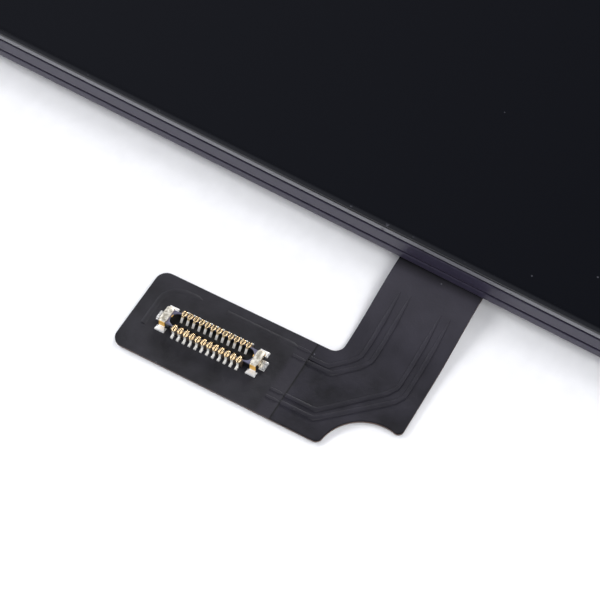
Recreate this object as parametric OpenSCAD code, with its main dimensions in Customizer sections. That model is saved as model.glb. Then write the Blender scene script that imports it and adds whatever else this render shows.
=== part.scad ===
// Phone LCD screen assembly, lying face up, with its L-shaped flex tail and board plug.
// Origin: centre of the outline on the plane that the cushions rest on. +Y is the long
// axis, +Z points out of the glass, and the tail leaves the +X side. Millimetres.

/* [Outline] */
// Width of the display across the short side
panel_w = 70; // [62:0.5:80]
// Length of the display along the long side
panel_l = 146; // [134:0.5:165]
// Radius of the display's corners
corner_r = 10; // [8:0.5:13]

/* [Cover glass] */
// Thickness of the cover glass
glass_t = 0.65; // [0.5:0.05:1]
// Radius that rounds the top edge of the glass
glass_edge_r = 0.42; // [0.2:0.02:0.45]
// Length of the earpiece slot
slot_l = 9; // [5:0.5:14]
// Width of the earpiece slot
slot_w = 1.1; // [0.8:0.1:1.6]
// Distance from the end of the glass to the middle of the slot
slot_in = 3.4; // [2.8:0.1:4]

/* [Bezel frame] */
// Height of the frame from its lower edge to the glue seam
frame_h = 1.41; // [1.2:0.01:1.6]
// Width of the frame's top flange, from the outside inwards
frame_w = 1.9; // [1.5:0.1:2.6]
// Thickness of the frame's outer wall
frame_wall = 1; // [0.7:0.1:1.3]
// Thickness of the frame's top flange
flange_t = 0.5; // [0.4:0.05:0.6]
// Height of the lower band below the groove
band_h = 0.48; // [0.3:0.02:0.55]
// Height of the groove between the two bands
groove_h = 0.15; // [0.08:0.01:0.2]
// Depth of the groove
groove_d = 0.12; // [0.05:0.01:0.25]
// Thickness of the glue between frame and glass
frame_glue_t = 0.14; // [0.08:0.01:0.2]
// How far the glue stays back from the outside
frame_glue_in = 0.1; // [0.05:0.01:0.3]

/* [Panel layers] */
// Thickness of the clear adhesive under the cover glass
clear_glue_t = 0.2; // [0.1:0.01:0.3]
// Thickness of each polarizer
polarizer_t = 0.1; // [0.08:0.01:0.15]
// Thickness of each of the two panel glasses
panel_glass_t = 0.2; // [0.15:0.01:0.3]
// Width of the bare ledge of the lower glass, where chip and flex are bonded
ledge_w = 3.2; // [2.6:0.1:4]
// How far the polarizers stay back from the edge of the panel glass
polarizer_in = 0.4; // [0.2:0.1:0.8]
// Gap between the frame's opening and the display module
module_gap = 0.3; // [0.2:0.05:0.5]
// Room at the -Y end where the flex folds round the module
fold_room = 0.95; // [0.9:0.05:1.2]

/* [Driver chip] */
// Length of the driver chip
driver_l = 24; // [15:1:30]
// Width of the driver chip
driver_w = 1; // [0.6:0.1:1.2]
// Thickness of the driver chip
driver_t = 0.22; // [0.15:0.01:0.28]
// Gap between the driver chip and the bonded flex
driver_gap = 0.2; // [0.1:0.05:0.4]

/* [Backlight] */
// Thickness of the steel back plate
plate_t = 0.2; // [0.15:0.01:0.3]
// Thickness of the back plate's upturned rim
plate_rim_t = 0.15; // [0.1:0.01:0.2]
// Thickness of the reflector film
reflector_t = 0.07; // [0.05:0.01:0.1]
// Thickness of the light guide
guide_t = 0.35; // [0.3:0.01:0.5]
// Thickness of the diffuser film
diffuser_t = 0.05; // [0.04:0.01:0.08]
// Thickness of each prism film
prism_t = 0.06; // [0.05:0.01:0.08]
// Thickness of the black tape on the backlight's rim
rim_tape_t = 0.05; // [0.04:0.01:0.08]
// Width of the white backlight frame's sides
backlight_w = 1.2; // [1:0.1:1.5]
// Running gap round the parts that drop into the backlight
film_gap = 0.05; // [0.03:0.01:0.1]
// Number of light-emitting diodes along the -Y end
led_count = 12; // [6:1:13]
// Length of one diode
led_l = 2.6; // [1.6:0.1:3]
// Width of one diode
led_w = 0.8; // [0.5:0.1:1]
// Height of one diode
led_h = 0.32; // [0.25:0.01:0.35]
// Spacing of the diodes
led_pitch = 3.8; // [3.3:0.1:4]
// Thickness of the diodes' flexible strip
led_flex_t = 0.08; // [0.05:0.01:0.1]
// Overlap of the rim tape onto the films
rim_tape_lap = 0.4; // [0.2:0.1:0.8]

/* [Flex behind the display] */
// Width of the flex where it is bonded and folded
bond_w = 44; // [36:1:48]
// Length of flex that is bonded on the glass ledge
bond_l = 1.1; // [0.8:0.1:1.3]
// Length of the wide part of the flex behind the display
back_run_l = 11; // [8:0.5:14]
// Width of the strip that carries the chips and leads to the tail
strip_w = 14; // [10:0.5:15]
// Distance from the display's side to the strip
strip_in = 11; // [9:0.5:12]
// Length of the strip beyond the stem
strip_over = 2.5; // [1:0.5:5]

/* [Flex tail] */
// Thickness of the flexible printed circuit
flex_t = 0.12; // [0.08:0.01:0.16]
// Thickness of the tape that holds the flex to the back plate
flex_tape_t = 0.03; // [0.02:0.01:0.06]
// Place of the plug's middle along the display's side
plug_y = -29.7; // [-34:0.1:-24]
// Distance of the plug's middle from the display's side
plug_out = 9.26; // [8:0.01:12]
// Angle by which the whole tail is canted
tail_cant = 2.45; // [0:0.05:4]
// Width of the tail's arm, which carries the plug
arm_w = 5.11; // [4:0.01:6]
// Length of the arm from the plug's middle to its free end
arm_end = 4.47; // [4:0.01:6]
// Distance from the plug's middle to the stem's near edge
stem_in = 6.25; // [6:0.01:7]
// Width of the stem that runs to the display
stem_w = 4.98; // [4.4:0.01:5.6]
// Radius of the arm's free corners
arm_corner_r = 0.62; // [0.2:0.01:1]
// Radius inside the corner between arm and stem
inner_fillet_r = 0.6; // [0.3:0.05:1]
// Radius of the round notch in the tail's outer corner
notch_r = 2.47; // [1.5:0.01:2.6]
// Distance from the stem's outer edge to the notch's middle
notch_in = 0.93; // [0.7:0.01:1.2]
// Radius of the two tips beside the notch
notch_tip_r = 0.34; // [0.15:0.01:0.45]
// Length of the stem's rise from the table level to the display
rise_l = 5.3; // [4.5:0.1:6]
// Distance before the display's side where the rise is complete
rise_end = 0.45; // [0.3:0.05:0.6]

/* [Stem film] */
// Thickness of the black film on the stem
film_t = 0.03; // [0.02:0.01:0.05]
// How far the film stays back from the flex's edge
film_in = 0.04; // [0.02:0.01:0.1]
// Distance between the film's far end and the display's side
film_end = 0.25; // [0.1:0.05:0.5]
// Distance from the plug's middle to the film's end on the arm
film_start = 4.99; // [4.7:0.01:5.4]
// Width of each embossed ridge over the conductors
ridge_w = 0.16; // [0.1:0.01:0.25]
// Height of each embossed ridge
ridge_h = 0.03; // [0.01:0.01:0.05]
// Distance between the ridges' ends and the display's side
ridge_end = 2; // [1.5:0.1:3]
// Length of a ridge's slant at the stem's inner edge
slant_l = 0.5; // [0.3:0.1:1]
// Share of a ridge's distance from the stem's inner edge that is added to its slant
slant_share = 0.68; // [0.5:0.01:0.9]

/* [Board plug] */
// Number of contacts in each row
contact_count = 12; // [6:1:12]
// Spacing of the contacts
contact_pitch = 0.35; // [0.3:0.01:0.35]
// Width of one contact strip
contact_w = 0.19; // [0.12:0.01:0.2]
// Thickness of the contact strip
contact_t = 0.06; // [0.04:0.01:0.08]
// Distance between the middles of the two side walls
wall_gap = 1.04; // [0.9:0.01:1.3]
// Thickness of a side wall
wall_t = 0.24; // [0.2:0.01:0.35]
// Height of the plug's walls above the flex
wall_h = 0.44; // [0.35:0.01:0.6]
// Thickness of the plug's floor
plug_floor_t = 0.08; // [0.05:0.01:0.12]
// Length of a contact's solder foot beyond its leg
foot_l = 0.19; // [0.15:0.01:0.3]
// Distance from the plug's middle line to the toes of the inner legs
inner_toe = 0.1; // [0.06:0.01:0.15]
// Offset of the plug's middle towards the stem
plug_off = 0.12; // [0:0.01:0.2]
// Overall length of the plug's body
plug_l = 5.76; // [5.7:0.02:6.2]
// Length of the wide middle of the body beyond the last contact
block_over = 0.12; // [0.08:0.01:0.2]
// Thickness of the walls beside the cavity's ends
end_wall_t = 0.06; // [0.05:0.01:0.1]
// Radius of the plug body's corners
plug_corner_r = 0.2; // [0.1:0.05:0.25]
// Gap between the plug's cavity and the hold-down plates
cavity_in = 0.05; // [0.02:0.01:0.1]
// Thickness of the solder under each foot
solder_t = 0.02; // [0.01:0.01:0.03]
// How far the solder shows round each foot
solder_over = 0.02; // [0.01:0.01:0.03]

/* [Hold-downs] */
// Distance of each hold-down plate's middle from the plug's middle
hold_x = 2.72; // [2.7:0.01:2.85]
// Length of the plate along the plug
hold_l = 0.42; // [0.3:0.01:0.5]
// Thickness of the hold-down's sheet
hold_t = 0.07; // [0.05:0.01:0.1]
// Width of the legs at the hold-down's sides
hold_leg_w = 0.38; // [0.25:0.01:0.4]
// Width of the hold-down's side foot at its toe
hold_foot_w = 0.56; // [0.5:0.01:0.6]
// Length of the hold-down's feet beyond their legs
hold_foot_l = 0.28; // [0.2:0.01:0.4]
// Width of the leg and foot at the hold-down's end
hold_end_w = 0.54; // [0.4:0.01:0.7]

/* [Stiffener] */
// Thickness of the stiffener under the plug
stiffener_t = 0.15; // [0.1:0.01:0.25]
// How far the stiffener stays back from the flex's edge
stiffener_in = 0.12; // [0.05:0.01:0.3]
// Length of the stiffener beyond the plug's middle, towards the stem
stiffener_end = 4.2; // [3.8:0.05:4.7]

/* [Back side] */
// Distance from the resting plane to the back plate
standoff = 0.91; // [0.85:0.01:1.2]
// Side of the square centre cushion
centre_pad_w = 14; // [8:1:18]
// Radius of the centre cushion's corners
centre_pad_r = 1.5; // [0.5:0.5:3]
// Length of each edge cushion
edge_pad_l = 16; // [10:1:20]
// Width of each edge cushion
edge_pad_w = 4; // [3:0.5:5]
// Radius of the edge cushions' corners
edge_pad_r = 1; // [0.5:0.1:1.4]
// Distance from the back plate's side to an edge cushion
edge_pad_in = 1.5; // [1:0.1:2]
// Distance from the back plate's end to an edge cushion's middle
edge_pad_end = 24.8; // [22:0.1:28]
// Thickness of the graphite sheet
graphite_t = 0.04; // [0.03:0.01:0.08]
// Gap between the graphite sheet and the centre cushion
graphite_low = 2; // [1:0.5:6]
// Gap between the graphite sheet and the edge cushions
graphite_gap = 1; // [0.5:0.1:3]
// Distance from the back plate's +Y end to the graphite sheet
graphite_end = 19.8; // [17:0.1:24]
// Radius of the graphite sheet's corners
graphite_r = 2; // [1:0.5:4]
// Side of the square controller chip on the flex
controller_w = 3.4; // [2:0.1:4]
// Height of the controller chip
controller_h = 0.45; // [0.3:0.05:0.5]
// Distance along the strip from the plug's middle to the controller chip
controller_off = 8; // [6:0.5:10]
// Size of one capacitor on the flex
capacitor = [0.6, 0.3, 0.3];
// Number of capacitors on each side of the controller chip
capacitor_count = 5; // [2:1:5]
// Spacing of the capacitors
capacitor_pitch = 0.8; // [0.6:0.1:1]
// Size of one inductor on the flex
inductor = [1.6, 1.2, 0.5];
// Number of inductors in the row
inductor_count = 3; // [1:1:4]
// Spacing of the inductors
inductor_pitch = 2.2; // [1.8:0.1:2.6]

/* [Hidden] */
$fn = 64;
// Overlap that joins two volumes of one piece
weld = 0.01;

// Heights of the layers, counted up from the resting plane
plate_z = standoff;
reflector_z = plate_z + plate_t;
guide_z = reflector_z + reflector_t;
diffuser_z = guide_z + guide_t;
lower_prism_z = diffuser_z + diffuser_t;
upper_prism_z = lower_prism_z + prism_t;
rim_tape_z = upper_prism_z + prism_t;
rear_polarizer_z = rim_tape_z + rim_tape_t;
tft_z = rear_polarizer_z + polarizer_t;
filter_z = tft_z + panel_glass_t;
front_polarizer_z = filter_z + panel_glass_t;
clear_glue_z = front_polarizer_z + polarizer_t;
glass_z = clear_glue_z + clear_glue_t;
frame_top_z = glass_z - frame_glue_t;
frame_z = frame_top_z - frame_h;
flex_back_z = plate_z - flex_tape_t - flex_t;
flex_fold_z = tft_z + panel_glass_t;
tail_z = stiffener_t;
tail_top_z = tail_z + flex_t;

// Outlines of the stacked layers
opening_w = panel_w - 2 * frame_w;
opening_l = panel_l - 2 * frame_w;
module_w = opening_w - 2 * module_gap;
module_l = opening_l - 2 * module_gap - fold_room;
module_y = fold_room / 2;
module_r = corner_r - frame_w - module_gap;
module_end_y = module_y - module_l / 2;
rim_in = plate_rim_t + film_gap;
guide_in = rim_in + backlight_w + film_gap;
led_room = led_w + 2 * film_gap;

// Row of diodes
led_row_l = (led_count - 1) * led_pitch + led_l;
led_y = module_end_y + guide_in + film_gap;
led_top_z = diffuser_z - led_flex_t;

// Flex behind the display
strip_x = panel_w / 2 - strip_in - strip_w;
strip_top_y = plug_y + stem_in + stem_w + strip_over;
fold_outer_r = (flex_fold_z + flex_t - flex_back_z) / 2;

// The tail's own frame: x along the arm towards the stem, y towards the display
arm_in = arm_w / 2;
stem_out = stem_in + stem_w;
rise_stop = plug_out - rise_end;
rise_start = rise_stop - rise_l;
tail_reach = plug_out + strip_in + strip_w / 2;
notch_x = stem_out - notch_in;
rise_steps = 24;

// Conductor ridges: distance in from the arm's inner edge and from the stem's inner edge
ridge_arm = [0.97, 1.27, 3.53, 4.0];
ridge_stem = [1.05, 1.65, 3.55, 4.1];
ridge_top = plug_out - ridge_end;

// Plug
row_l = (contact_count - 1) * contact_pitch;
wall_y = wall_gap / 2;
wall_top_z = tail_top_z + wall_h;
leg_out_y = wall_y + wall_t / 2;
leg_in_y = wall_y - wall_t / 2;
foot_end_y = leg_out_y + contact_t + foot_l;
foot_z = tail_top_z + solder_t;
plug_w = 2 * leg_out_y;
plug_end = plug_l / 2;
end_block_w = 2 * (leg_in_y + end_wall_t);
block_l = row_l + contact_w + 2 * block_over;
hold_edge_y = end_block_w / 2 + hold_t;

// Back side
edge_pad_x = module_w / 2 - edge_pad_in - edge_pad_w / 2;
edge_pad_y = module_l / 2 - edge_pad_end;
graphite_low_y = centre_pad_w / 2 + graphite_low;
graphite_l = module_y + module_l / 2 - graphite_end - graphite_low_y;
graphite_w = 2 * (edge_pad_x - edge_pad_w / 2 - graphite_gap);
chip_x = strip_x + strip_w / 2;
controller_y = plug_y - controller_off;
inductor_y = controller_y - controller_w / 2 - inductor_pitch;

// Rectangle with round corners
module rounded_rect(w, l, r) {
    square([w - 2 * r, l], center = true);
    square([w, l - 2 * r], center = true);
    for (sx = [-1, 1], sy = [-1, 1])
        translate([sx * (w / 2 - r), sy * (l / 2 - r)])
            circle(r);
}

// Flat layer with the module's outline, held back by inset all round
module layer(z, t, inset) {
    translate([0, module_y, z])
        linear_extrude(t)
            rounded_rect(module_w - 2 * inset, module_l - 2 * inset, module_r - inset);
}

// Ring between two rounded rectangles
module ring(w, l, r, width, z, t) {
    translate([0, 0, z])
        linear_extrude(t)
            difference() {
                rounded_rect(w, l, r);
                rounded_rect(w - 2 * width, l - 2 * width, r - width);
            }
}

// Half of the glass's section: straight side below, round edge above
module glass_section(half_w) {
    square([half_w, glass_t - glass_edge_r]);
    square([half_w - glass_edge_r, glass_t]);
    intersection() {
        square([half_w, glass_t]);
        translate([half_w - glass_edge_r, glass_t - glass_edge_r])
            circle(glass_edge_r);
    }
}

module glass_blank() {
    for (side = [0, 180])
        rotate([0, 0, side])
            rotate([90, 0, 0])
                translate([0, 0, -(panel_l / 2 - corner_r)])
                    linear_extrude(panel_l - 2 * corner_r)
                        glass_section(panel_w / 2);
    for (side = [0, 180])
        rotate([0, 0, side])
            rotate([90, 0, 90])
                translate([0, 0, -(panel_w / 2 - corner_r)])
                    linear_extrude(panel_w - 2 * corner_r)
                        glass_section(panel_l / 2);
    for (sx = [0, 1], sy = [0, 1])
        mirror([sx, 0, 0])
            mirror([0, sy, 0])
                translate([panel_w / 2 - corner_r, panel_l / 2 - corner_r])
                    rotate_extrude(angle = 90)
                        glass_section(corner_r);
}

// Outline of the earpiece slot, made larger or smaller by grow
module slot_shape(grow) {
    translate([0, panel_l / 2 - slot_in]) {
        square([slot_l - slot_w, slot_w + 2 * grow], center = true);
        for (sx = [-1, 1])
            translate([sx * (slot_l - slot_w) / 2, 0])
                circle(slot_w / 2 + grow);
    }
}

module cover_glass() {
    color("#1b1d20")
        difference() {
            translate([0, 0, glass_z])
                glass_blank();
            translate([0, 0, glass_z - weld])
                linear_extrude(glass_t + 2 * weld)
                    slot_shape(0);
        }
}

module earpiece_mesh() {
    color("#26272a")
        translate([0, 0, glass_z])
            linear_extrude(glass_t / 2)
                slot_shape(0);
}

module frame_adhesive() {
    glue_w = frame_w - 2 * frame_glue_in;
    color("#2b2a2e")
        ring(panel_w - 2 * frame_glue_in, panel_l - 2 * frame_glue_in,
            corner_r - frame_glue_in, glue_w, frame_top_z, frame_glue_t);
}

// Outer wall with its groove, and a flange on top that carries the glass
module bezel_frame() {
    color("#55535a")
        difference() {
            union() {
                ring(panel_w, panel_l, corner_r, frame_wall, frame_z, frame_h);
                ring(panel_w, panel_l, corner_r, frame_w, frame_top_z - flange_t, flange_t);
            }
            ring(panel_w + 2, panel_l + 2, corner_r + 1, 1 + groove_d,
                frame_z + band_h, groove_h);
        }
}

module optical_adhesive() {
    color("#cfd6da")
        layer(clear_glue_z, clear_glue_t, polarizer_in);
}

// Part of a layer that stays on the colour filter's side of the ledge
module above_ledge(inset) {
    intersection() {
        children();
        translate([-panel_w / 2, module_end_y + ledge_w + inset, 0])
            cube([panel_w, panel_l, glass_z + glass_t]);
    }
}

module front_polarizer() {
    color("#303338")
        above_ledge(polarizer_in)
            layer(front_polarizer_z, polarizer_t, polarizer_in);
}

module colour_filter_glass() {
    color("#8fa3a8")
        above_ledge(0)
            layer(filter_z, panel_glass_t, 0);
}

module tft_glass() {
    color("#9db0b5")
        layer(tft_z, panel_glass_t, 0);
}

module driver_ic() {
    color("#3c3e42")
        translate([-driver_l / 2, module_end_y + bond_l + driver_gap, filter_z])
            cube([driver_l, driver_w, driver_t]);
}

module rear_polarizer() {
    color("#3a3d42")
        layer(rear_polarizer_z, polarizer_t, polarizer_in);
}

module rim_tape() {
    color("#16171a")
        translate([0, module_y, 0])
            ring(module_w - 2 * rim_in, module_l - 2 * rim_in, module_r - rim_in,
                backlight_w + rim_tape_lap, rim_tape_z, rim_tape_t);
}

// Film that drops into the backlight frame
module backlight_film(z, t) {
    layer(z, t, guide_in);
}

module upper_prism_film() {
    color("#e3e6e6")
        backlight_film(upper_prism_z, prism_t);
}

module lower_prism_film() {
    color("#dcdfe0")
        backlight_film(lower_prism_z, prism_t);
}

module diffuser_film() {
    color("#f0f0ee")
        backlight_film(diffuser_z, diffuser_t);
}

// Room for the diodes at the -Y end of the light guide
module led_channel() {
    translate([-led_row_l / 2 - film_gap, module_end_y, guide_z - weld])
        cube([led_row_l + 2 * film_gap, guide_in + led_room, guide_t + 2 * weld]);
}

module light_guide() {
    color("#e9f1f1")
        difference() {
            backlight_film(guide_z, guide_t);
            led_channel();
        }
}

module reflector_film() {
    color("#f4f5f5")
        backlight_film(reflector_z, reflector_t);
}

module led_flex() {
    color("#c58a3a")
        translate([-led_row_l / 2, led_y, led_top_z])
            cube([led_row_l, led_w, led_flex_t]);
}

module leds() {
    height = min(led_h, led_top_z - guide_z);
    color("#f2d778")
        for (i = [0 : led_count - 1])
            translate([i * led_pitch - led_row_l / 2, led_y, led_top_z - height])
                cube([led_l, led_w, height]);
}

module backlight_frame() {
    color("#eceae4")
        translate([0, module_y, 0])
            ring(module_w - 2 * rim_in, module_l - 2 * rim_in, module_r - rim_in,
                backlight_w, reflector_z, rim_tape_z - reflector_z);
}

// Steel pan: a flat plate with its rim turned up round the backlight frame
module back_plate() {
    color("#8c8f92") {
        layer(plate_z, plate_t, 0);
        translate([0, module_y, 0])
            ring(module_w, module_l, module_r, plate_rim_t, reflector_z - weld,
                upper_prism_z - reflector_z + weld);
    }
}

// Outline of the flex where it is taped to the back plate
module back_run_shape() {
    translate([-bond_w / 2, module_end_y + fold_outer_r - flex_t])
        square([bond_w, back_run_l]);
    translate([strip_x, module_end_y + fold_outer_r])
        square([strip_w, strip_top_y - module_end_y - fold_outer_r]);
}

// Puts its children into the tail's own frame
module in_tail_frame() {
    translate([panel_w / 2 + plug_out, plug_y, 0])
        rotate([0, 0, 90 + tail_cant])
            children();
}

// Puts its children into the plug's own frame, with the tail's directions
module in_plug_frame() {
    in_tail_frame()
        translate([plug_off, 0, 0])
            children();
}

// Outline of arm and stem in the tail's frame, held back by inset
module tail_shape(inset) {
    fillet = inner_fillet_r + inset;
    difference() {
        union() {
            translate([-arm_end + inset, -arm_in + inset])
                square([arm_end + stem_out - 2 * inset, arm_w - 2 * inset]);
            translate([stem_in + inset, -arm_in + inset])
                square([stem_w - 2 * inset, tail_reach + arm_in - inset]);
            translate([stem_in - inner_fillet_r, arm_in - inset - weld])
                square([inner_fillet_r + inset + weld, inner_fillet_r + inset + weld]);
        }
        translate([stem_in + inset - fillet, arm_in - inset + fillet])
            circle(fillet);
        corner_cut([-arm_end + inset, arm_in - inset], [-1, 1], arm_corner_r);
        corner_cut([-arm_end + inset, -arm_in + inset], [-1, -1], arm_corner_r);
        translate([notch_x, -arm_in])
            circle(notch_r + inset);
        translate([notch_x, -arm_in - notch_r])
            square([2 * notch_r, notch_r]);
        notch_tips(inset);
    }
}

// Rounds the two tips that the notch leaves on the arm's edge and on the stem's edge
module notch_tips(inset) {
    r = notch_tip_r;
    big = notch_r + inset;
    low = -arm_in + inset;
    side = stem_out - inset;
    arm_tip = [notch_x - sqrt(pow(big + r, 2) - pow(inset + r, 2)), low + r];
    stem_tip = [side - r, -arm_in + sqrt(pow(big + r, 2) - pow(side - r - notch_x, 2))];
    arm_end_x = notch_x - sqrt(pow(big, 2) - pow(inset, 2));
    stem_end_y = -arm_in + sqrt(pow(big, 2) - pow(side - notch_x, 2));
    round_tip(arm_tip, [[arm_end_x + weld, low - weld], [arm_tip.x, low - weld]], r, big);
    round_tip(stem_tip, [[side + weld, stem_end_y - weld], [side + weld, stem_tip.y]], r, big);
}

// The sharp part of one tip: outside a small circle, between it, the notch and the edge
module round_tip(middle, corners, r, big) {
    notch_middle = [notch_x, -arm_in];
    touch = notch_middle + (middle - notch_middle) * big / (big + r);
    difference() {
        polygon(concat([middle, touch], corners));
        translate(middle)
            circle(r);
    }
}

// Takes the sharp tip off a square corner and leaves a quarter circle
module corner_cut(corner, side, r) {
    translate([corner.x - side.x * r, corner.y - side.y * r])
        difference() {
            translate([side.x > 0 ? 0 : -2 * r, side.y > 0 ? 0 : -2 * r])
                square(2 * r);
            circle(r);
        }
}

// Smooth share of the rise at the distance y towards the display
function rise_share(y) =
    let (s = min(1, max(0, (y - rise_start) / rise_l)))
        s * s * (3 - 2 * s);
function tail_height(y) = tail_z + (flex_back_z - tail_z) * rise_share(y);
function rise_points() = [for (i = [0 : rise_steps]) rise_start + rise_l * i / rise_steps];

// Sheet that follows the tail's side view: flat, rising, and flat again
module tail_sheet(below, above) {
    ys = concat([-arm_in - 1], rise_points(), [tail_reach + 1]);
    lower = [for (y = ys) [y, tail_height(y) + below]];
    upper = [for (i = [len(ys) - 1 : -1 : 0]) [ys[i], tail_height(ys[i]) + above]];
    translate([-arm_end - 1, 0, 0])
        rotate([90, 0, 90])
            linear_extrude(arm_end + stem_out + 2)
                polygon(concat(lower, upper));
}

module tail_layer(below, above) {
    in_tail_frame()
        intersection() {
            tail_sheet(below, above);
            linear_extrude(glass_z)
                children();
        }
}

// One circuit: bonded on the glass ledge, folded round the backlight, taped to the
// back plate, and led out below the frame as the L-shaped tail
module display_flex() {
    mid_z = (flex_fold_z + flex_t + flex_back_z) / 2;
    inner_r = fold_outer_r - flex_t;
    color("#34343a") {
        translate([-bond_w / 2, module_end_y, flex_fold_z])
            cube([bond_w, bond_l, flex_t]);
        translate([-bond_w / 2, module_end_y, mid_z])
            rotate([90, 0, 90])
                linear_extrude(bond_w)
                    difference() {
                        circle(fold_outer_r);
                        circle(inner_r);
                        translate([0, -2 * fold_outer_r])
                            square(4 * fold_outer_r);
                    }
        translate([-bond_w / 2, module_end_y - weld, flex_back_z])
            cube([bond_w, fold_outer_r + weld, flex_t]);
        translate([0, 0, flex_back_z])
            linear_extrude(flex_t)
                back_run_shape();
        tail_layer(0, flex_t)
            tail_shape(0);
    }
}

module flex_adhesive() {
    color("#c9c2a6")
        translate([0, 0, flex_back_z + flex_t])
            linear_extrude(flex_tape_t)
                intersection() {
                    back_run_shape();
                    translate([-panel_w / 2, module_end_y + fold_outer_r])
                        square([panel_w, panel_l]);
                }
}

// Centre line of one ridge: along the arm, across at 45 degrees, up the stem
function ridge_path(i) =
    let (
        y = arm_in - ridge_arm[i],
        x = stem_in + ridge_stem[i],
        run = min(slant_l + slant_share * ridge_stem[i], x - film_start - ridge_w)
    )
    [[film_start, y], [x - run, y], [x, y + run], [x, ridge_top]];

// Straight stroke from a to b with round ends
module stroke(a, b) {
    along = b - a;
    translate(a)
        rotate([0, 0, atan2(along.y, along.x)])
            translate([0, -ridge_w / 2])
                square([norm(along), ridge_w]);
    translate(b)
        circle(ridge_w / 2, $fn = 24);
}

module ridge_shapes() {
    for (i = [0 : len(ridge_arm) - 1])
        for (k = [0 : 2])
            stroke(ridge_path(i)[k], ridge_path(i)[k + 1]);
}

module film_shape() {
    intersection() {
        tail_shape(film_in);
        translate([film_start, -arm_in])
            square([stem_out, arm_in + plug_out - film_end]);
    }
}

module stem_film() {
    color("#3b3a41") {
        tail_layer(flex_t, flex_t + film_t)
            film_shape();
        tail_layer(flex_t, flex_t + film_t + ridge_h)
            intersection() {
                film_shape();
                ridge_shapes();
            }
    }
}

module plug_stiffener() {
    color("#5d5040")
        in_tail_frame()
            linear_extrude(stiffener_t)
                intersection() {
                    tail_shape(stiffener_in);
                    translate([-arm_end, -arm_in])
                        square([arm_end + stiffener_end, arm_w]);
                }
}

// Plug body: a wide middle with two walls, narrower ends, and a cavity with round ends
module plug_housing() {
    cavity_w = 2 * leg_in_y;
    cavity_l = 2 * (hold_x - hold_l / 2 - cavity_in);
    color("#1b1a1f")
        in_plug_frame()
            translate([0, 0, foot_z])
                difference() {
                    linear_extrude(wall_h - solder_t) {
                        rounded_rect(plug_l, end_block_w, plug_corner_r);
                        square([block_l, plug_w], center = true);
                    }
                    translate([0, 0, plug_floor_t])
                        linear_extrude(wall_h)
                            rounded_rect(cavity_l, cavity_w, cavity_w / 2 - weld);
                }
}

// One contact: foot, outer leg, top over the wall, and a leg that slants into the cavity
module contact() {
    outer = leg_out_y + contact_t;
    inner = leg_in_y - contact_t;
    top = wall_top_z + contact_t;
    bend = contact_t;
    toe_z = foot_z + plug_floor_t;
    rotate([90, 0, 90])
        linear_extrude(contact_w, center = true) {
            translate([leg_out_y, foot_z])
                square([contact_t, wall_top_z - foot_z]);
            translate([leg_out_y, foot_z])
                square([foot_end_y - leg_out_y, contact_t]);
            polygon([
                [leg_in_y, wall_top_z],
                [inner, wall_top_z],
                [inner_toe, toe_z],
                [inner_toe + contact_t, toe_z]
            ]);
            translate([leg_in_y, wall_top_z])
                square([leg_out_y - leg_in_y, contact_t]);
            intersection() {
                translate([inner, wall_top_z])
                    square([outer - inner, top - wall_top_z]);
                for (y = [leg_in_y, leg_out_y])
                    translate([y, wall_top_z])
                        circle(bend, $fn = 32);
            }
        }
}

module contact_row(side) {
    in_plug_frame()
        mirror([0, side < 0 ? 1 : 0, 0])
            for (i = [0 : contact_count - 1])
                translate([i * contact_pitch - row_l / 2, 0, 0])
                    contact();
}

module near_contacts() {
    color("#d9b15a")
        contact_row(-1);
}

module far_contacts() {
    color("#d9b15a")
        contact_row(1);
}

// Formed bracket over the plug's end: plate, legs on both sides and at the end, feet
module hold_down() {
    plate_w = 2 * hold_edge_y;
    translate([hold_x - hold_l / 2, -hold_edge_y, wall_top_z])
        cube([hold_l, plate_w, hold_t]);
    translate([hold_x, -hold_end_w / 2, wall_top_z])
        cube([plug_end + hold_t - hold_x, hold_end_w, hold_t]);
    translate([plug_end, -hold_end_w / 2, foot_z])
        cube([hold_t, hold_end_w, wall_top_z - foot_z + weld]);
    translate([plug_end, -hold_end_w / 2, foot_z])
        cube([hold_t + hold_foot_l, hold_end_w, hold_t]);
    for (sy = [-1, 1])
        translate([hold_x, sy * hold_edge_y, 0]) {
            translate([-hold_leg_w / 2, sy > 0 ? -hold_t : 0, foot_z])
                cube([hold_leg_w, hold_t, wall_top_z - foot_z + weld]);
            translate([0, 0, foot_z])
                linear_extrude(hold_t)
                    polygon([
                        [-hold_leg_w / 2, -sy * hold_t],
                        [hold_leg_w / 2, -sy * hold_t],
                        [hold_foot_w / 2, sy * hold_foot_l],
                        [-hold_foot_w / 2, sy * hold_foot_l]
                    ]);
        }
}

module hold_down_left() {
    color("#cfcabd")
        in_plug_frame()
            mirror([1, 0, 0])
                hold_down();
}

module hold_down_right() {
    color("#cfcabd")
        in_plug_frame()
            hold_down();
}

// Solder under every foot
module solder_joints() {
    pad_w = contact_w + 2 * solder_over;
    pad_l = hold_t + hold_foot_l + solder_over;
    color("#e4e5e6")
        in_plug_frame()
            translate([0, 0, tail_top_z]) {
                for (sy = [0, 1])
                    mirror([0, sy, 0])
                        for (i = [0 : contact_count - 1])
                            translate([i * contact_pitch - row_l / 2 - pad_w / 2, leg_out_y, 0])
                                cube([pad_w, foot_end_y - leg_out_y + solder_over, solder_t]);
                for (sx = [0, 1])
                    mirror([sx, 0, 0]) {
                        for (sy = [0, 1])
                            mirror([0, sy, 0])
                                translate([hold_x - hold_foot_w / 2, hold_edge_y - hold_t, 0])
                                    cube([hold_foot_w, pad_l, solder_t]);
                        translate([plug_end, -hold_end_w / 2, 0])
                            cube([pad_l, hold_end_w, solder_t]);
                    }
            }
}

module controller_ic() {
    color("#26272b")
        translate([chip_x - controller_w / 2, controller_y - controller_w / 2,
            flex_back_z - controller_h])
            cube([controller_w, controller_w, controller_h]);
}

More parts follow.
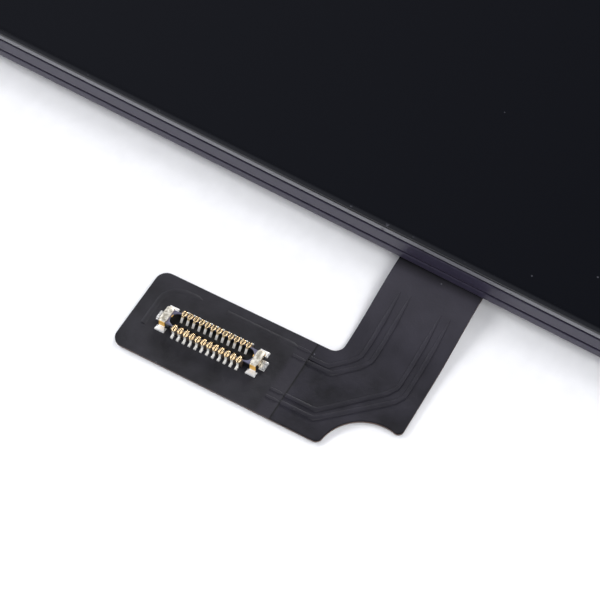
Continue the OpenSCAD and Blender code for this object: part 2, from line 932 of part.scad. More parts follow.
module flex_capacitors() {
    color("#b89a6b")
        for (i = [0 : capacitor_count - 1], side = [-1, 1])
            translate([
                chip_x + side * (controller_w / 2 + capacitor.x) - capacitor.x / 2,
                controller_y + (i - (capacitor_count - 1) / 2) * capacitor_pitch - capacitor.y / 2,
                flex_back_z - capacitor.z
            ])
                cube(capacitor);
}

module flex_inductors() {
    color("#5a5a5e")
        for (i = [0 : inductor_count - 1])
            translate([chip_x - inductor.x / 2, inductor_y - i * inductor_pitch - inductor.y / 2,
                flex_back_z - inductor.z])
                cube(inductor);
}

module graphite_sheet() {
    color("#3b3c3e")
        translate([0, graphite_low_y + graphite_l / 2, plate_z - graphite_t])
            linear_extrude(graphite_t)
                rounded_rect(graphite_w, graphite_l, graphite_r);
}

module centre_pad() {
    color("#1d1d1f")
        linear_extrude(plate_z)
            rounded_rect(centre_pad_w, centre_pad_w, centre_pad_r);
}

module edge_pads() {
    color("#1d1d1f")
        for (sx = [-1, 1], sy = [-1, 1])
            translate([sx * edge_pad_x, module_y + sy * edge_pad_y, 0])
                linear_extrude(plate_z)
                    rounded_rect(edge_pad_w, edge_pad_l, edge_pad_r);
}

cover_glass();
earpiece_mesh();
frame_adhesive();
bezel_frame();
optical_adhesive();
front_polarizer();
colour_filter_glass();
tft_glass();
driver_ic();
rear_polarizer();
rim_tape();
upper_prism_film();
lower_prism_film();
diffuser_film();
light_guide();
reflector_film();
led_flex();
leds();
backlight_frame();
back_plate();
flex_adhesive();
display_flex();
stem_film();
plug_stiffener();
plug_housing();
near_contacts();
far_contacts();
hold_down_left();
hold_down_right();
solder_joints();
controller_ic();
flex_capacitors();
flex_inductors();
graphite_sheet();
centre_pad();
edge_pads();
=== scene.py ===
# %% [markdown]
# # Phone LCD screen assembly
# A replacement screen for a phone lies face up on a pale table. Its front is one sheet of black
# looking glass with a rounded edge, glued to a dark moulded frame. A thin black flexible circuit
# leaves below the frame, drops to the table and turns into an arm that carries a tiny board plug.
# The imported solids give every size, and this script gives the shapes their edges and finishes.

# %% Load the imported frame
import math

import bmesh
import bpy
from mathutils import Matrix, Vector


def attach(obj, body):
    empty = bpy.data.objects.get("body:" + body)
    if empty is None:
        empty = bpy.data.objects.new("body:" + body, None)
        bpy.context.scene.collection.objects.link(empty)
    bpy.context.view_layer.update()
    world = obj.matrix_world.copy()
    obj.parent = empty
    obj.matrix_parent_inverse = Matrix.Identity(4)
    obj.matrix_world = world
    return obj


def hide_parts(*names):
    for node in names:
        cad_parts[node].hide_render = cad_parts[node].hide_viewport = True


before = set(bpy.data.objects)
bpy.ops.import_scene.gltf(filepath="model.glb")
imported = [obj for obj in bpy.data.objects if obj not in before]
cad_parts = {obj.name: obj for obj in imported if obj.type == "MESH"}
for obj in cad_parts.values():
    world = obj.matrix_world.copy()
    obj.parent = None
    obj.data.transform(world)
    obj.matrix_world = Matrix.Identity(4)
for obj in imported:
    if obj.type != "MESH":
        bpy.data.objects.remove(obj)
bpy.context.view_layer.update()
print("CAD nodes loaded:", len(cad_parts))

# %% [markdown]
# ## Sizes
# The solids are measured in millimetres, and so is this script until a piece is finished. Then
# the piece is shrunk to metres in one step. The tail is laid out in its own frame: `a` runs
# along the arm towards the stem and `b` runs towards the display. One matrix turns that frame
# into the display's own, because the real tail is canted a little.

# %% Sizes in millimetres
MM = 0.001
PANEL_W, PANEL_L, CORNER_R = 70.0, 146.0, 10.0
GLASS_Z, GLASS_TOP_Z, GLASS_EDGE_R = 2.55, 3.2, 0.42
SLOT_L, SLOT_W, SLOT_Y = 9.0, 1.1, PANEL_L / 2 - 3.4
FRAME_Z, FRAME_TOP_Z, FRAME_WALL, FRAME_W, FLANGE_Z = 1.0, 2.41, 1.0, 1.9, 1.91
GROOVE_Z, GROOVE_TOP_Z, GROOVE_D = 1.48, 1.63, 0.12
MODULE_W, MODULE_L, MODULE_Y, MODULE_R = 65.6, 140.65, 0.475, 7.8
PLATE_Z, PLATE_T, PLATE_RIM_T, PLATE_RIM_TOP = 0.91, 0.2, 0.15, 1.64
FLEX_T, FLEX_BACK_Z, TAIL_Z = 0.12, 0.76, 0.15
TAIL = Matrix.Translation((PANEL_W / 2 + 9.26, -29.7, 0)) @ Matrix.Rotation(math.radians(92.45), 4, "Z")
ARM_END, ARM_IN, STEM_IN, STEM_OUT = 4.47, 2.555, 6.25, 11.23
RISE_START, RISE_L = 3.51, 5.3
NOTCH_R, NOTCH_A = 2.47, 10.3


def tail_height(b):
    """Height of the tail's underside: flat on the table, a smooth rise, then flat below the display."""
    share = min(1.0, max(0.0, (b - RISE_START) / RISE_L))
    return TAIL_Z + (FLEX_BACK_Z - TAIL_Z) * share * share * (3 - 2 * share)


print("tail rises from", tail_height(0), "to", round(tail_height(9), 3), "mm")

# %% [markdown]
# ## Camera
# The camera looks down on the long side of the display from about 57 degrees up, with a long
# lens close by, so that the glass runs out of the frame on two sides and the plug is large
# enough to read. Its axes are written as three unit vectors, because the roll matters here:
# the display's edge crosses the frame on a slant.

# %% Camera
def put(name, data):
    """Makes an object from its data and links it into the scene."""
    thing = bpy.data.objects.new(name, data)
    bpy.context.collection.objects.link(thing)
    return thing


camera = put("camera", bpy.data.cameras.new("camera"))
look = Vector((-0.46803, -0.29034, -0.83465)).normalized()
up = Vector((-0.70798, -0.44206, 0.55077))
side = look.cross(up).normalized()
up = side.cross(look)
camera.matrix_world = Matrix.Translation(Vector((86.3448, 1.8658, 83.4655)) * MM) @ Matrix(
    (side, up, -look)).transposed().to_4x4()
camera.data.lens = 114.237
camera.data.sensor_width = 36
camera.data.clip_start = 0.001
camera.data.dof.use_dof = False
bpy.context.scene.camera = camera
print("camera distance to the plug:", round((camera.location - TAIL.translation * MM).length, 4))

# %% [markdown]
# ## Helpers for finishes
# A material here is a small graph of nodes. One function adds a node: it sets the node's
# properties and fills its sockets with plain values or with what another node gives. A MapRange
# takes a list: the value, the two ends it comes from and the two it goes to, if not 0 and 1.
# Colours are chosen as sRGB hex values, as a paint chip would be, and Blender wants them linear.

# %% Node helper and colours
BY, FROM, TO = 0, 6, 7  # the sockets of a colour mix: its share and its two colours


def linear(hex_colour):
    """Turns an sRGB hex colour into Blender's linear colour."""
    parts = [int(hex_colour[i:i + 2], 16) / 255 for i in (1, 3, 5)]
    return [c / 12.92 if c <= 0.04045 else ((c + 0.055) / 1.055) ** 2.4 for c in parts] + [1.0]


def fill(tree, node, inputs):
    """Fills sockets by name or, from a list, in their order. A node stands for its first output."""
    for socket, value in inputs.items() if isinstance(inputs, dict) else enumerate(inputs):
        if isinstance(value, bpy.types.Node):
            value = next(output for output in value.outputs if output.enabled)
        if isinstance(value, bpy.types.NodeSocket):
            tree.links.new(value, node.inputs[socket])
        else:
            node.inputs[socket].default_value = linear(value) if isinstance(value, str) else value


def add(tree, kind, inputs, **settings):
    """Adds one node, sets its properties and fills its sockets."""
    node = tree.nodes.new("ShaderNode" + kind)
    for name, value in settings.items():
        setattr(node, name, value)
    fill(tree, node, inputs)
    return node


def start_finish(name):
    """Starts a material, and returns with it its tree and the place of each point on the piece."""
    finish = bpy.data.materials.new(name)
    finish.use_nodes = True
    return finish, finish.node_tree, add(finish.node_tree, "TexCoord", []).outputs["Object"]


def end_finish(finish, **sockets):
    """Fills the sockets of the material's shader. A plain value is the same all over the surface."""
    tree = finish.node_tree
    fill(tree, tree.nodes["Principled BSDF"], {name.replace("_", " "): sockets[name] for name in sockets})
    return finish


def per(size):
    """Scale of a texture whose pattern is so many millimetres wide."""
    return 1 / (size * MM)


def grained(name, dark, light, grain, rough, bump=0.0, stretch=(1, 1, 1), **sockets):
    """A finish whose colour, roughness and height vary over a grain of so many millimetres."""
    finish, tree, place = start_finish(name)
    stretched = add(tree, "Mapping", {"Vector": place, "Scale": stretch})
    noise = add(tree, "TexNoise", {"Vector": stretched, "Scale": per(grain), "Detail": 3})
    # most of a noise lies between 0.3 and 0.7
    even = add(tree, "MapRange", [noise, 0.3, 0.7])
    colour = add(tree, "Mix", {BY: even, FROM: dark, TO: light}, data_type="RGBA")
    gloss = add(tree, "MapRange", [noise, 0.3, 0.7, rough[0], rough[1]])
    if bump:
        sockets["Normal"] = add(tree, "Bump", {"Height": noise, "Distance": bump * MM})
    return end_finish(finish, Base_Color=colour, Roughness=gloss, **sockets)


def specks(tree, place, spacing, radius):
    """Mask of rare dust: cells of so many millimetres whose middle lies close to the surface."""
    cells = add(tree, "TexVoronoi", {"Vector": place, "Scale": per(spacing)})
    return add(tree, "MapRange", [cells, radius / spacing, 0.4 * radius / spacing])


print("black glass in linear light:", [round(c, 4) for c in linear("#0b0c0e")])

# %% [markdown]
# ## Helpers for shapes
# Most pieces are die cut, moulded or stamped, so they start as a flat outline. A rounded
# rectangle is made as one square face whose four corners are bevelled. Loops of that kind, one
# above the other, are bridged into walls, and `extrude` and `spin` carry a strip's end round
# its bends, as a stamping tool does.

# %% Shape helpers
def round_corners(bm, verts, radius, steps):
    """Rounds the corners of a flat outline."""
    bmesh.ops.bevel(bm, geom=verts, affect="VERTICES", offset=radius, segments=steps, profile=0.5,
                    material=-1)


def outline_loop(bm, width, length, radius, z, centre=(0.0, 0.0), steps=24):
    """Edges of a rounded rectangle at height z."""
    old = set(bm.edges)
    verts = bmesh.ops.create_grid(bm, x_segments=1, y_segments=1, size=0.5)["verts"]
    bmesh.ops.scale(bm, vec=(width, length, 1), verts=verts)
    bmesh.ops.translate(bm, vec=(centre[0], centre[1], z), verts=verts)
    round_corners(bm, verts, radius, steps)
    loop = [edge for edge in bm.edges if edge not in old]
    bmesh.ops.delete(bm, geom=list({face for edge in loop for face in edge.link_faces}), context="FACES_ONLY")
    return loop


def display_loop(bm, inset, z):
    """Edges of the display's own outline, held back by inset."""
    return outline_loop(bm, PANEL_W - 2 * inset, PANEL_L - 2 * inset, CORNER_R - inset, z)


def bridge(bm, *loops):
    """Joins each loop to the next with a wall."""
    for lower, upper in zip(loops, loops[1:]):
        bmesh.ops.bridge_loops(bm, edges=lower + upper)


def close(bm, edges):
    """Closes a loop of edges with one face."""
    return bmesh.ops.contextual_create(bm, geom=edges)["faces"]


def close_level(bm, z):
    """Fills what is open at height z with triangles, round any opening in it."""
    rims = [e for e in bm.edges if e.is_boundary and abs(e.verts[0].co.z - z) < 1e-4]
    bmesh.ops.triangle_fill(bm, use_beauty=True, edges=rims)


def soften(bm, edges, offset, segments):
    """Rounds edges with a bevel."""
    bmesh.ops.bevel(bm, geom=edges, affect="EDGES", offset=offset, segments=segments, profile=0.5,
                    material=-1, clamp_overlap=True)


def sharp_edges(bm, degrees):
    """The edges where two faces meet at more than so many degrees."""
    return [edge for edge in bm.edges
            if len(edge.link_faces) == 2 and edge.calc_face_angle(0) > math.radians(degrees)]


def refinish(bm, old, index):
    """Gives the faces made since the set `old` was taken another of the piece's finishes."""
    for face in set(bm.faces) - old:
        face.material_index = index


def edges_of(verts):
    """All edges that end at one of these vertices."""
    return list({edge for vert in verts for edge in vert.link_edges})


def whole(faces):
    """Faces with their edges and vertices, as extrude and spin want them."""
    return list({part for face in faces for part in list(face.edges) + list(face.verts)}) + list(faces)


def run_on(bm, faces, along):
    """Extrudes faces along a straight run and returns the new end faces."""
    made = bmesh.ops.extrude_face_region(bm, geom=whole(faces))["geom"]
    bmesh.ops.translate(bm, vec=along, verts=[v for v in made if isinstance(v, bmesh.types.BMVert)])
    return [f for f in made if isinstance(f, bmesh.types.BMFace)]


def bend(bm, faces, centre, axis, degrees, steps):
    """Carries faces round a bend and returns the new end faces."""
    made = bmesh.ops.spin(bm, geom=whole(faces), cent=centre, axis=axis, angle=math.radians(degrees),
                          steps=steps)
    return [f for f in made["geom_last"] if isinstance(f, bmesh.types.BMFace)]


def block(bm, low, high):
    """A box between two corners, to be shaped further. Returns its vertices."""
    verts = bmesh.ops.create_cube(bm, size=1)["verts"]
    low, high = Vector(low), Vector(high)
    bmesh.ops.scale(bm, vec=high - low, verts=verts)
    bmesh.ops.translate(bm, vec=(low + high) / 2, verts=verts)
    return verts


def cut(bm, at, across, clear=False):
    """Cuts a model with a plane through a point, and can clear what lies beyond the plane."""
    bmesh.ops.bisect_plane(bm, geom=bm.verts[:] + bm.edges[:] + bm.faces[:], dist=1e-5,
                           plane_co=at, plane_no=across, clear_outer=clear)


def to_mesh(bm, name):
    """Turns a finished model into a mesh."""
    mesh = bpy.data.meshes.new(name)
    bm.to_mesh(mesh)
    bm.free()
    return mesh


def make_piece(bm, name, finishes, replaces=(), matrix=Matrix()):
    """Moves a model to its place, shrinks it to metres and puts it on the frame as one piece."""
    bmesh.ops.transform(bm, matrix=matrix, verts=bm.verts)
    bmesh.ops.recalc_face_normals(bm, faces=bm.faces)
    bmesh.ops.scale(bm, vec=(MM, MM, MM), verts=bm.verts)
    mesh = to_mesh(bm, name)
    for finish in finishes:
        mesh.materials.append(finish)
    mesh.shade_smooth()
    mesh.set_sharp_from_angle(angle=math.radians(40))
    piece = put(name, mesh)
    piece.modifiers.new("flat_faces_stay_flat", "WEIGHTED_NORMAL").keep_sharp = True
    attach(piece, "root")
    if replaces:
        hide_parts(*replaces)
    print(name, "faces:", len(mesh.polygons))


def dress(node, finish):
    """Gives a CAD node that keeps its shape a better finish."""
    for material_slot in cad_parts[node].material_slots:
        material_slot.material = finish


print("shape helpers ready")

# %% [markdown]
# ## Table and light
# The display lies on a plain pale table under six large soft lamps, as in a product studio. Two
# stand in front, so every gold contact shows two highlights. Two stand behind the display and send
# its soft shadow towards the camera. One fills the shadows from the camera's side, and one low at
# the back lights the plug's far flanks. No lamp stands where the flat glass or its rounded edge
# would mirror it, so the glass stays black.

# %% Table, lamps and world
TABLE_HALF, TABLE_DROP = 1.2, 0.02 * MM  # it lies a hair below the display, so no two faces coincide
bm = bmesh.new()
bmesh.ops.create_grid(bm, x_segments=1, y_segments=1, size=TABLE_HALF)
bmesh.ops.translate(bm, vec=(0, 0, -TABLE_DROP), verts=bm.verts)
table = put("table", to_mesh(bm, "table"))
table.data.materials.append(grained("white_paper_table", "#f1f1f2", "#f6f6f7", 1.0, rough=(0.8, 0.9)))

# the place of each lamp and its width in metres, and its power in watts
LAMPS = {"right_front": ((0.20, 0.26, 0.40), 0.26, 0.80), "left_front": ((0.16, -0.36, 0.28), 0.26, 0.76),
         "right_back": ((-0.12, 0.30, 0.40), 0.26, 0.72), "left_back": ((-0.04, -0.42, 0.30), 0.26, 0.50),
         "camera_side": ((0.45, 0.20, 0.20), 0.30, 0.8), "back_low": ((-0.40, -0.06, 0.16), 0.20, 2.1)}
LAMP_AIM = Vector((0.04, -0.028, 0))
for lamp_name, (spot, width, power) in LAMPS.items():
    lamp = put(lamp_name, bpy.data.lights.new(lamp_name, "AREA"))
    lamp.data.shape = "DISK"
    lamp.data.size = width
    lamp.data.energy = power
    lamp.location = spot
    lamp.rotation_euler = (LAMP_AIM - Vector(spot)).to_track_quat("-Z", "Y").to_euler()
world = bpy.data.worlds.new("studio")
bpy.context.scene.world = world
world.use_nodes = True
sky = world.node_tree
x, y = add(sky, "SeparateXYZ", [add(sky, "TexCoord", []).outputs["Generated"]]).outputs[:2]
# The glass mirrors only the dark strip of studio over the camera's left, which is a little brighter
# towards -Y and shades the glass from left to right. White walls stand on both sides of that strip,
# and the ceiling brightens towards +X, low over the plug.
strip = add(sky, "MapRange", [y, -0.45, -0.1, 0.22, 0.10])
walls = [add(sky, "MapRange", [axis, start, full, 0, bright])
         for axis, start, full, bright in (
             (y, 0.08, 0.4, 0.45), (y, -0.55, -0.8, 1.0), (x, 0.35, 0.75, 0.45))]
brightest = walls[0]
for wall in walls[1:]:
    brightest = add(sky, "Math", [brightest, wall], operation="MAXIMUM")
glow = add(sky, "Math", [strip, brightest], operation="ADD")
fill(sky, sky.nodes["Background"], {"Color": "#e0e3f0", "Strength": glow})
# plain colour management, because a white table should clip to white as it does in a product photo
bpy.context.scene.view_settings.view_transform = "Standard"
print("lamps:", len(LAMPS))

# %% [markdown]
# ## Cover glass
# The front is aluminosilicate glass, black from the inside, polished on top and ground on its
# narrow side. The ground side is matt and grey, so it shows as a thin pale line all along the
# display. Two loops make the wall, an inset inside each cap keeps the flat faces flat, and one bevel
# along the top edge rolls the wall into the face. Triangle fill closes what is left and keeps the
# earpiece slot open.

# %% Cover glass
GROUND_Z, POLISHED_Z = 2.83, 2.90  # the marks of the grinding wheel end between these heights
FLAT_INSET = 1.5  # width of the ring that keeps the rounding out of a flat face
SWAY = 0.03


def wavering(tree, height, noise):
    """A height that a noise shifts up and down, as no ground or wetted line is quite straight."""
    shift = add(tree, "MapRange", [noise, 0, 1, -SWAY * MM, SWAY * MM])
    return add(tree, "Math", [height, shift], operation="ADD")


def ground_glass():
    """Polished black glass whose narrow side is ground: matt and grey low down, black and clear above."""
    finish, tree, place = start_finish("polished_glass_ground_edge")
    height = add(tree, "SeparateXYZ", [place]).outputs["Z"]
    # grit marks of the grinding wheel, 0.05 mm wide
    grit = add(tree, "TexNoise", {"Vector": place, "Scale": per(0.05), "Detail": 2})
    polish = add(tree, "MapRange", [wavering(tree, height, grit), GROUND_Z * MM, POLISHED_Z * MM])
    grey = add(tree, "Mix", {BY: grit, FROM: "#5d5d61", TO: "#717175"}, data_type="RGBA")
    colour = add(tree, "Mix", {BY: polish, FROM: grey, TO: "#07080d"}, data_type="RGBA")
    # chips 0.3 mm long along the edge, below the polished face, and dust on the face
    flaw = add(tree, "TexNoise", {"Vector": place, "Scale": per(0.7), "Detail": 3})
    chip = add(tree, "MapRange", [flaw, 0.66, 0.69])
    below = add(tree, "MapRange", [height, 3.12 * MM, 3.06 * MM])
    chipped = add(tree, "Math", [chip, below], operation="MULTIPLY")
    marks = add(tree, "Math", [chipped, specks(tree, place, 2.5, 0.07)], operation="MAXIMUM")
    marked = add(tree, "Mix", {BY: marks, FROM: colour, TO: "#3f3f45"}, data_type="RGBA")
    gloss = add(tree, "MapRange", [polish, 0, 1, 0.5, 0.045])
    return end_finish(finish, Base_Color=marked, Roughness=gloss, IOR=1.52)


GLASS = ground_glass()
bm = bmesh.new()
bottom, top = display_loop(bm, 0, GLASS_Z), display_loop(bm, 0, GLASS_TOP_Z)
bridge(bm, bottom, top)
for rim in (bottom, top):
    cap = close(bm, rim)
    bmesh.ops.inset_region(bm, faces=cap, thickness=FLAT_INSET, use_even_offset=True)
    bmesh.ops.delete(bm, geom=cap, context="FACES_ONLY")
soften(bm, top, GLASS_EDGE_R, 10)
soften(bm, bottom, 0.05, 2)
bridge(bm, *(outline_loop(bm, SLOT_L, SLOT_W, SLOT_W / 2 - 0.01, z, (0, SLOT_Y), 8)
             for z in (GLASS_Z, GLASS_TOP_Z)))
close_level(bm, GLASS_Z)
close_level(bm, GLASS_TOP_Z)
make_piece(bm, "cover_glass_polished", [GLASS], ["cover_glass"])

# %% [markdown]
# ## Bezel frame
# The glass is glued to a frame moulded in dark glass-filled nylon. Its outer wall shows two flat
# satin bands with a narrow groove between them, where the frame snaps into the phone. The
# section's corners are listed once, a loop is laid at each, neighbours are bridged, and a small
# bevel takes every corner off as the mould does.

# %% Bezel frame
NYLON = grained("moulded_dark_nylon", "#262330", "#302c3c", 0.12, rough=(0.28, 0.38), bump=0.002)
bm = bmesh.new()
loops = [display_loop(bm, inset, z) for inset, z in (
    (0, FRAME_Z), (0, GROOVE_Z), (GROOVE_D, GROOVE_Z), (GROOVE_D, GROOVE_TOP_Z), (0, GROOVE_TOP_Z),
    (0, FRAME_TOP_Z), (FRAME_W, FRAME_TOP_Z), (FRAME_W, FLANGE_Z), (FRAME_WALL, FLANGE_Z),
    (FRAME_WALL, FRAME_Z))]
bridge(bm, *loops, loops[0])
soften(bm, [edge for loop in loops for edge in loop], 0.04, 3)
make_piece(bm, "bezel_frame_moulded", [NYLON], ["bezel_frame"])

# %% [markdown]
# ## Flexible circuit
# The flex is one polyimide sheet with black cover film on both faces. It is bonded to the glass
# ledge, folds round the backlight, carries the chips behind the display, and leaves as the
# L-shaped tail. Its outline is one closed contour: straight runs, a vertex spun round for the
# notch, and corners rounded by a vertex bevel. The sheet is sliced where it rises, lifted, and
# extruded three times, so that the cut edge shows the brown core between two black films.

# %% Flexible circuit
# the notch's arc stops short of the sheet's edges by these angles, and its two tips are rounded
LEAD_IN, LEAD_OUT, TIP_IN_R, TIP_OUT_R = 9, 12, 0.33, 0.42
RISE_CUTS = 26


def tail_contour(inset, corners):
    """Face in the tail's frame: the notch by spin, then the listed corners, rounded by radius."""
    bm = bmesh.new()
    radius = NOTCH_R + inset
    low, right = -ARM_IN + inset, STEM_OUT - inset
    start = bm.verts.new((NOTCH_A - math.sqrt(radius ** 2 - inset ** 2), low, 0))
    first = bm.verts.new((NOTCH_A - radius * math.cos(math.radians(LEAD_IN)),
                          -ARM_IN + radius * math.sin(math.radians(LEAD_IN)), 0))
    end_angle = math.degrees(math.acos((right - NOTCH_A) / radius))
    swept = 180 - LEAD_IN - end_angle - LEAD_OUT
    bm.edges.new((start, first))
    arc = bmesh.ops.spin(bm, geom=[first], cent=(NOTCH_A, -ARM_IN, 0), axis=(0, 0, -1),
                         angle=math.radians(swept), steps=24)
    last = [v for v in arc["geom_last"] if isinstance(v, bmesh.types.BMVert)][0]
    finish = bm.verts.new((right, -ARM_IN + radius * math.sin(math.radians(end_angle)), 0))
    chain, rounded = [last, finish], [(start, TIP_IN_R), (finish, TIP_OUT_R)]
    for point, corner_radius in corners:
        chain.append(bm.verts.new((point[0], point[1], 0)))
        if corner_radius:
            rounded.append((chain[-1], corner_radius))
    for one, two in zip(chain, chain[1:] + [start]):
        bm.edges.new((one, two))
    close(bm, bm.edges[:])
    for vert, corner_radius in rounded:
        round_corners(bm, [vert], corner_radius, 8)
    return bm


def slice_rise(bm):
    """Cuts the sheet across its rise and lifts every point to the tail's height."""
    for i in range(RISE_CUTS + 1):
        cut(bm, (0, RISE_START + RISE_L * i / RISE_CUTS, 0), (0, 1, 0))
    for vert in bm.verts:
        vert.co.z += tail_height(vert.co.y)


def cover_film(name, dark, light, rough):
    """Black matt cover film over conductors: fine pores, slow mottling where the glue lies, and painted sheen
    and shadows.
    """
    finish, tree, place = start_finish(name)
    # the tail's own frame, so that the overlap of the two films can be found along the arm
    tail = add(tree, "Mapping", {"Vector": place, "Location": TAIL.translation * MM,
                                 "Rotation": TAIL.to_euler()}, vector_type="TEXTURE")
    a, b = add(tree, "SeparateXYZ", [tail]).outputs[:2]
    # Masks between two places, in millimetres: the overlap starts and ends, a painted sheen grows where
    # the sheet rises, a painted shadow begins below the frame, and a painted shadow line at the end of
    # the overlap starts and stops.
    lap, lap_end, painted_sheen, below, step, step_end = [
        add(tree, "MapRange", [axis, start * MM, end * MM, first, last])
        for axis, start, end, first, last in (
            (a, 4.0, 4.3, 0, 1), (a, 4.95, 4.99, 1, 0), (b, 1.0, 8.0, 0, 0.6), (b, 8.3, 9.1, 0, 1),
            (a, 4.94, 4.97, 0, 1), (a, 5.0, 5.08, 1, 0))]
    band = add(tree, "Math", [lap, lap_end], operation="MULTIPLY")
    pressed = add(tree, "Math", [step, step_end], operation="MULTIPLY")
    # pores of the matt film, 0.04 mm, mottling some 2 mm across, and wrinkles between them
    pores = add(tree, "TexNoise", {"Vector": place, "Scale": per(0.04), "Detail": 2})
    mottle = add(tree, "TexNoise", {"Vector": place, "Scale": per(2.0), "Detail": 5, "Roughness": 0.62})
    wrinkle = add(tree, "TexNoise", {"Vector": place, "Scale": per(0.45), "Detail": 3, "Distortion": 1.2})
    even = add(tree, "MapRange", [mottle, 0.34, 0.66])
    colour = add(tree, "Mix", {BY: even, FROM: dark, TO: light}, data_type="RGBA")
    # the painted sheen, the painted shadow below the frame, dust, the paler overlap and the painted
    # shadow line at its end
    for share, tone in ((painted_sheen, "#434149"), (below, "#030304"), (specks(tree, place, 1.3, 0.05), "#6a6a70"),
                        (band, "#232128"), (pressed, "#050506")):
        colour = add(tree, "Mix", {BY: share, FROM: colour, TO: tone}, data_type="RGBA")
    gloss = add(tree, "MapRange", [even, 0, 1, rough[0], rough[1]])
    relief = add(tree, "Bump", {"Height": mottle, "Distance": 0.1 * MM, "Strength": 0.7})
    for height, depth in ((wrinkle, 0.01), (pores, 0.003)):
        relief = add(tree, "Bump", {"Height": height, "Distance": depth * MM, "Strength": 0.5,
                                    "Normal": relief})
    return end_finish(finish, Base_Color=colour, Roughness=gloss, Normal=relief, IOR=1.39)


COVER_FILM = cover_film("matt_black_cover_film", "#100f13", "#201f25", (0.46, 0.56))
CORE = grained("cut_polyimide_core", "#4a2f1c", "#6d4526", 0.1, rough=(0.4, 0.55), IOR=1.7)
COVER_T, CORE_T, ARM_R = 0.035, 0.05, 0.62
STRIP_LOW, STRIP_HIGH, STRIP_SIDE, STRIP_BACK = -69.145, -15.97, 24.0, 10.0
RUN_HALF, RUN_TOP, FOLD_Y, FOLD_Z, LEDGE_L = 22.0, -58.265, -69.85, 1.465, 1.1


def in_tail(x, y):
    """A point of the display's frame, given in the tail's frame."""
    point = TAIL.inverted() @ Vector((x, y, 0))
    return point.x, point.y


def strip_crossing(a):
    """Where the stem's edge at a meets the side of the strip behind the display."""
    near, far = TAIL @ Vector((a, 0, 0)), TAIL @ Vector((a, 30, 0))
    share = (STRIP_SIDE - near.x) / (far.x - near.x)
    return a, 30 * share


bm = tail_contour(0, [
    (strip_crossing(STEM_OUT), 1.0), (in_tail(STRIP_SIDE, STRIP_HIGH), 1.0),
    (in_tail(STRIP_BACK, STRIP_HIGH), 1.0), (in_tail(STRIP_BACK, RUN_TOP), 1.5),
    (in_tail(-RUN_HALF, RUN_TOP), 1.5), (in_tail(-RUN_HALF, FOLD_Y), 0), (in_tail(RUN_HALF, FOLD_Y), 0),
    (in_tail(RUN_HALF, STRIP_LOW), 0), (in_tail(STRIP_SIDE, STRIP_LOW), 0),
    (strip_crossing(STEM_IN), 1.0), ((STEM_IN, ARM_IN), 0.6), ((-ARM_END, ARM_IN), ARM_R),
    ((-ARM_END, -ARM_IN), ARM_R)])
slice_rise(bm)
sheet = bm.faces[:]
for depth, brown in ((COVER_T, 0), (CORE_T, 1), (COVER_T, 0)):
    walls = set(bm.faces)
    sheet = run_on(bm, sheet, (0, 0, depth))
    refinish(bm, walls | set(sheet), brown)
bmesh.ops.transform(bm, matrix=TAIL, verts=bm.verts)
fold = [f for f in bm.faces if abs(f.calc_center_median().y - FOLD_Y) < 1e-3 and abs(f.normal.y) > 0.9]
fold = bend(bm, fold, (0, FOLD_Y, FOLD_Z), (1, 0, 0), -180, 16)
run_on(bm, fold, (0, LEDGE_L, 0))
make_piece(bm, "flex_circuit_sheet", [COVER_FILM, CORE], ["display_flex"])

# %% [markdown]
# ## Stem film
# A thinner black film lies over the stem. It takes the tail's own contour, held back a little, and
# two planes trim it: one where it ends on the arm and one below the frame. It is lifted by the same
# function as the sheet, so the two fit together on the rise.

# %% Stem film
FILM_T, FILM_START, FILM_END, FILM_INSET = 0.03, 4.99, 9.01, 0.04
FILM_TOP = 12  # the contour runs on this far towards the display before it is trimmed
STEM_FILM = cover_film("matt_black_stem_film", "#111015", "#1f1d26", (0.42, 0.52))
bm = tail_contour(FILM_INSET, [
    ((STEM_OUT - FILM_INSET, FILM_TOP), 0), ((STEM_IN + FILM_INSET, FILM_TOP), 0),
    ((STEM_IN + FILM_INSET, ARM_IN - FILM_INSET), 0.64), ((-ARM_END, ARM_IN - FILM_INSET), 0),
    ((-ARM_END, -ARM_IN + FILM_INSET), 0)])
cut(bm, (FILM_START, 0, 0), (-1, 0, 0), clear=True)
cut(bm, (0, FILM_END, 0), (0, 1, 0), clear=True)
slice_rise(bm)
bmesh.ops.translate(bm, vec=(0, 0, FLEX_T), verts=bm.verts)
run_on(bm, bm.faces[:], (0, 0, FILM_T))
make_piece(bm, "stem_film_sheet", [STEM_FILM], ["stem_film"], matrix=TAIL)

# %% [markdown]
# ## Embossed lines
# The copper below the films is thick, so conductors show through as low ridges: four turn the
# corner of the stem with two slanted bends. A ridge starts as a curve with a round bevel, which
# mitres its own corners and thins towards its end. It becomes a mesh, is pressed flat, and every
# point is lifted onto the rising sheet.

# %% Embossed lines
RIDGE_STEP = 0.3  # millimetres from one point of a ridge to the next


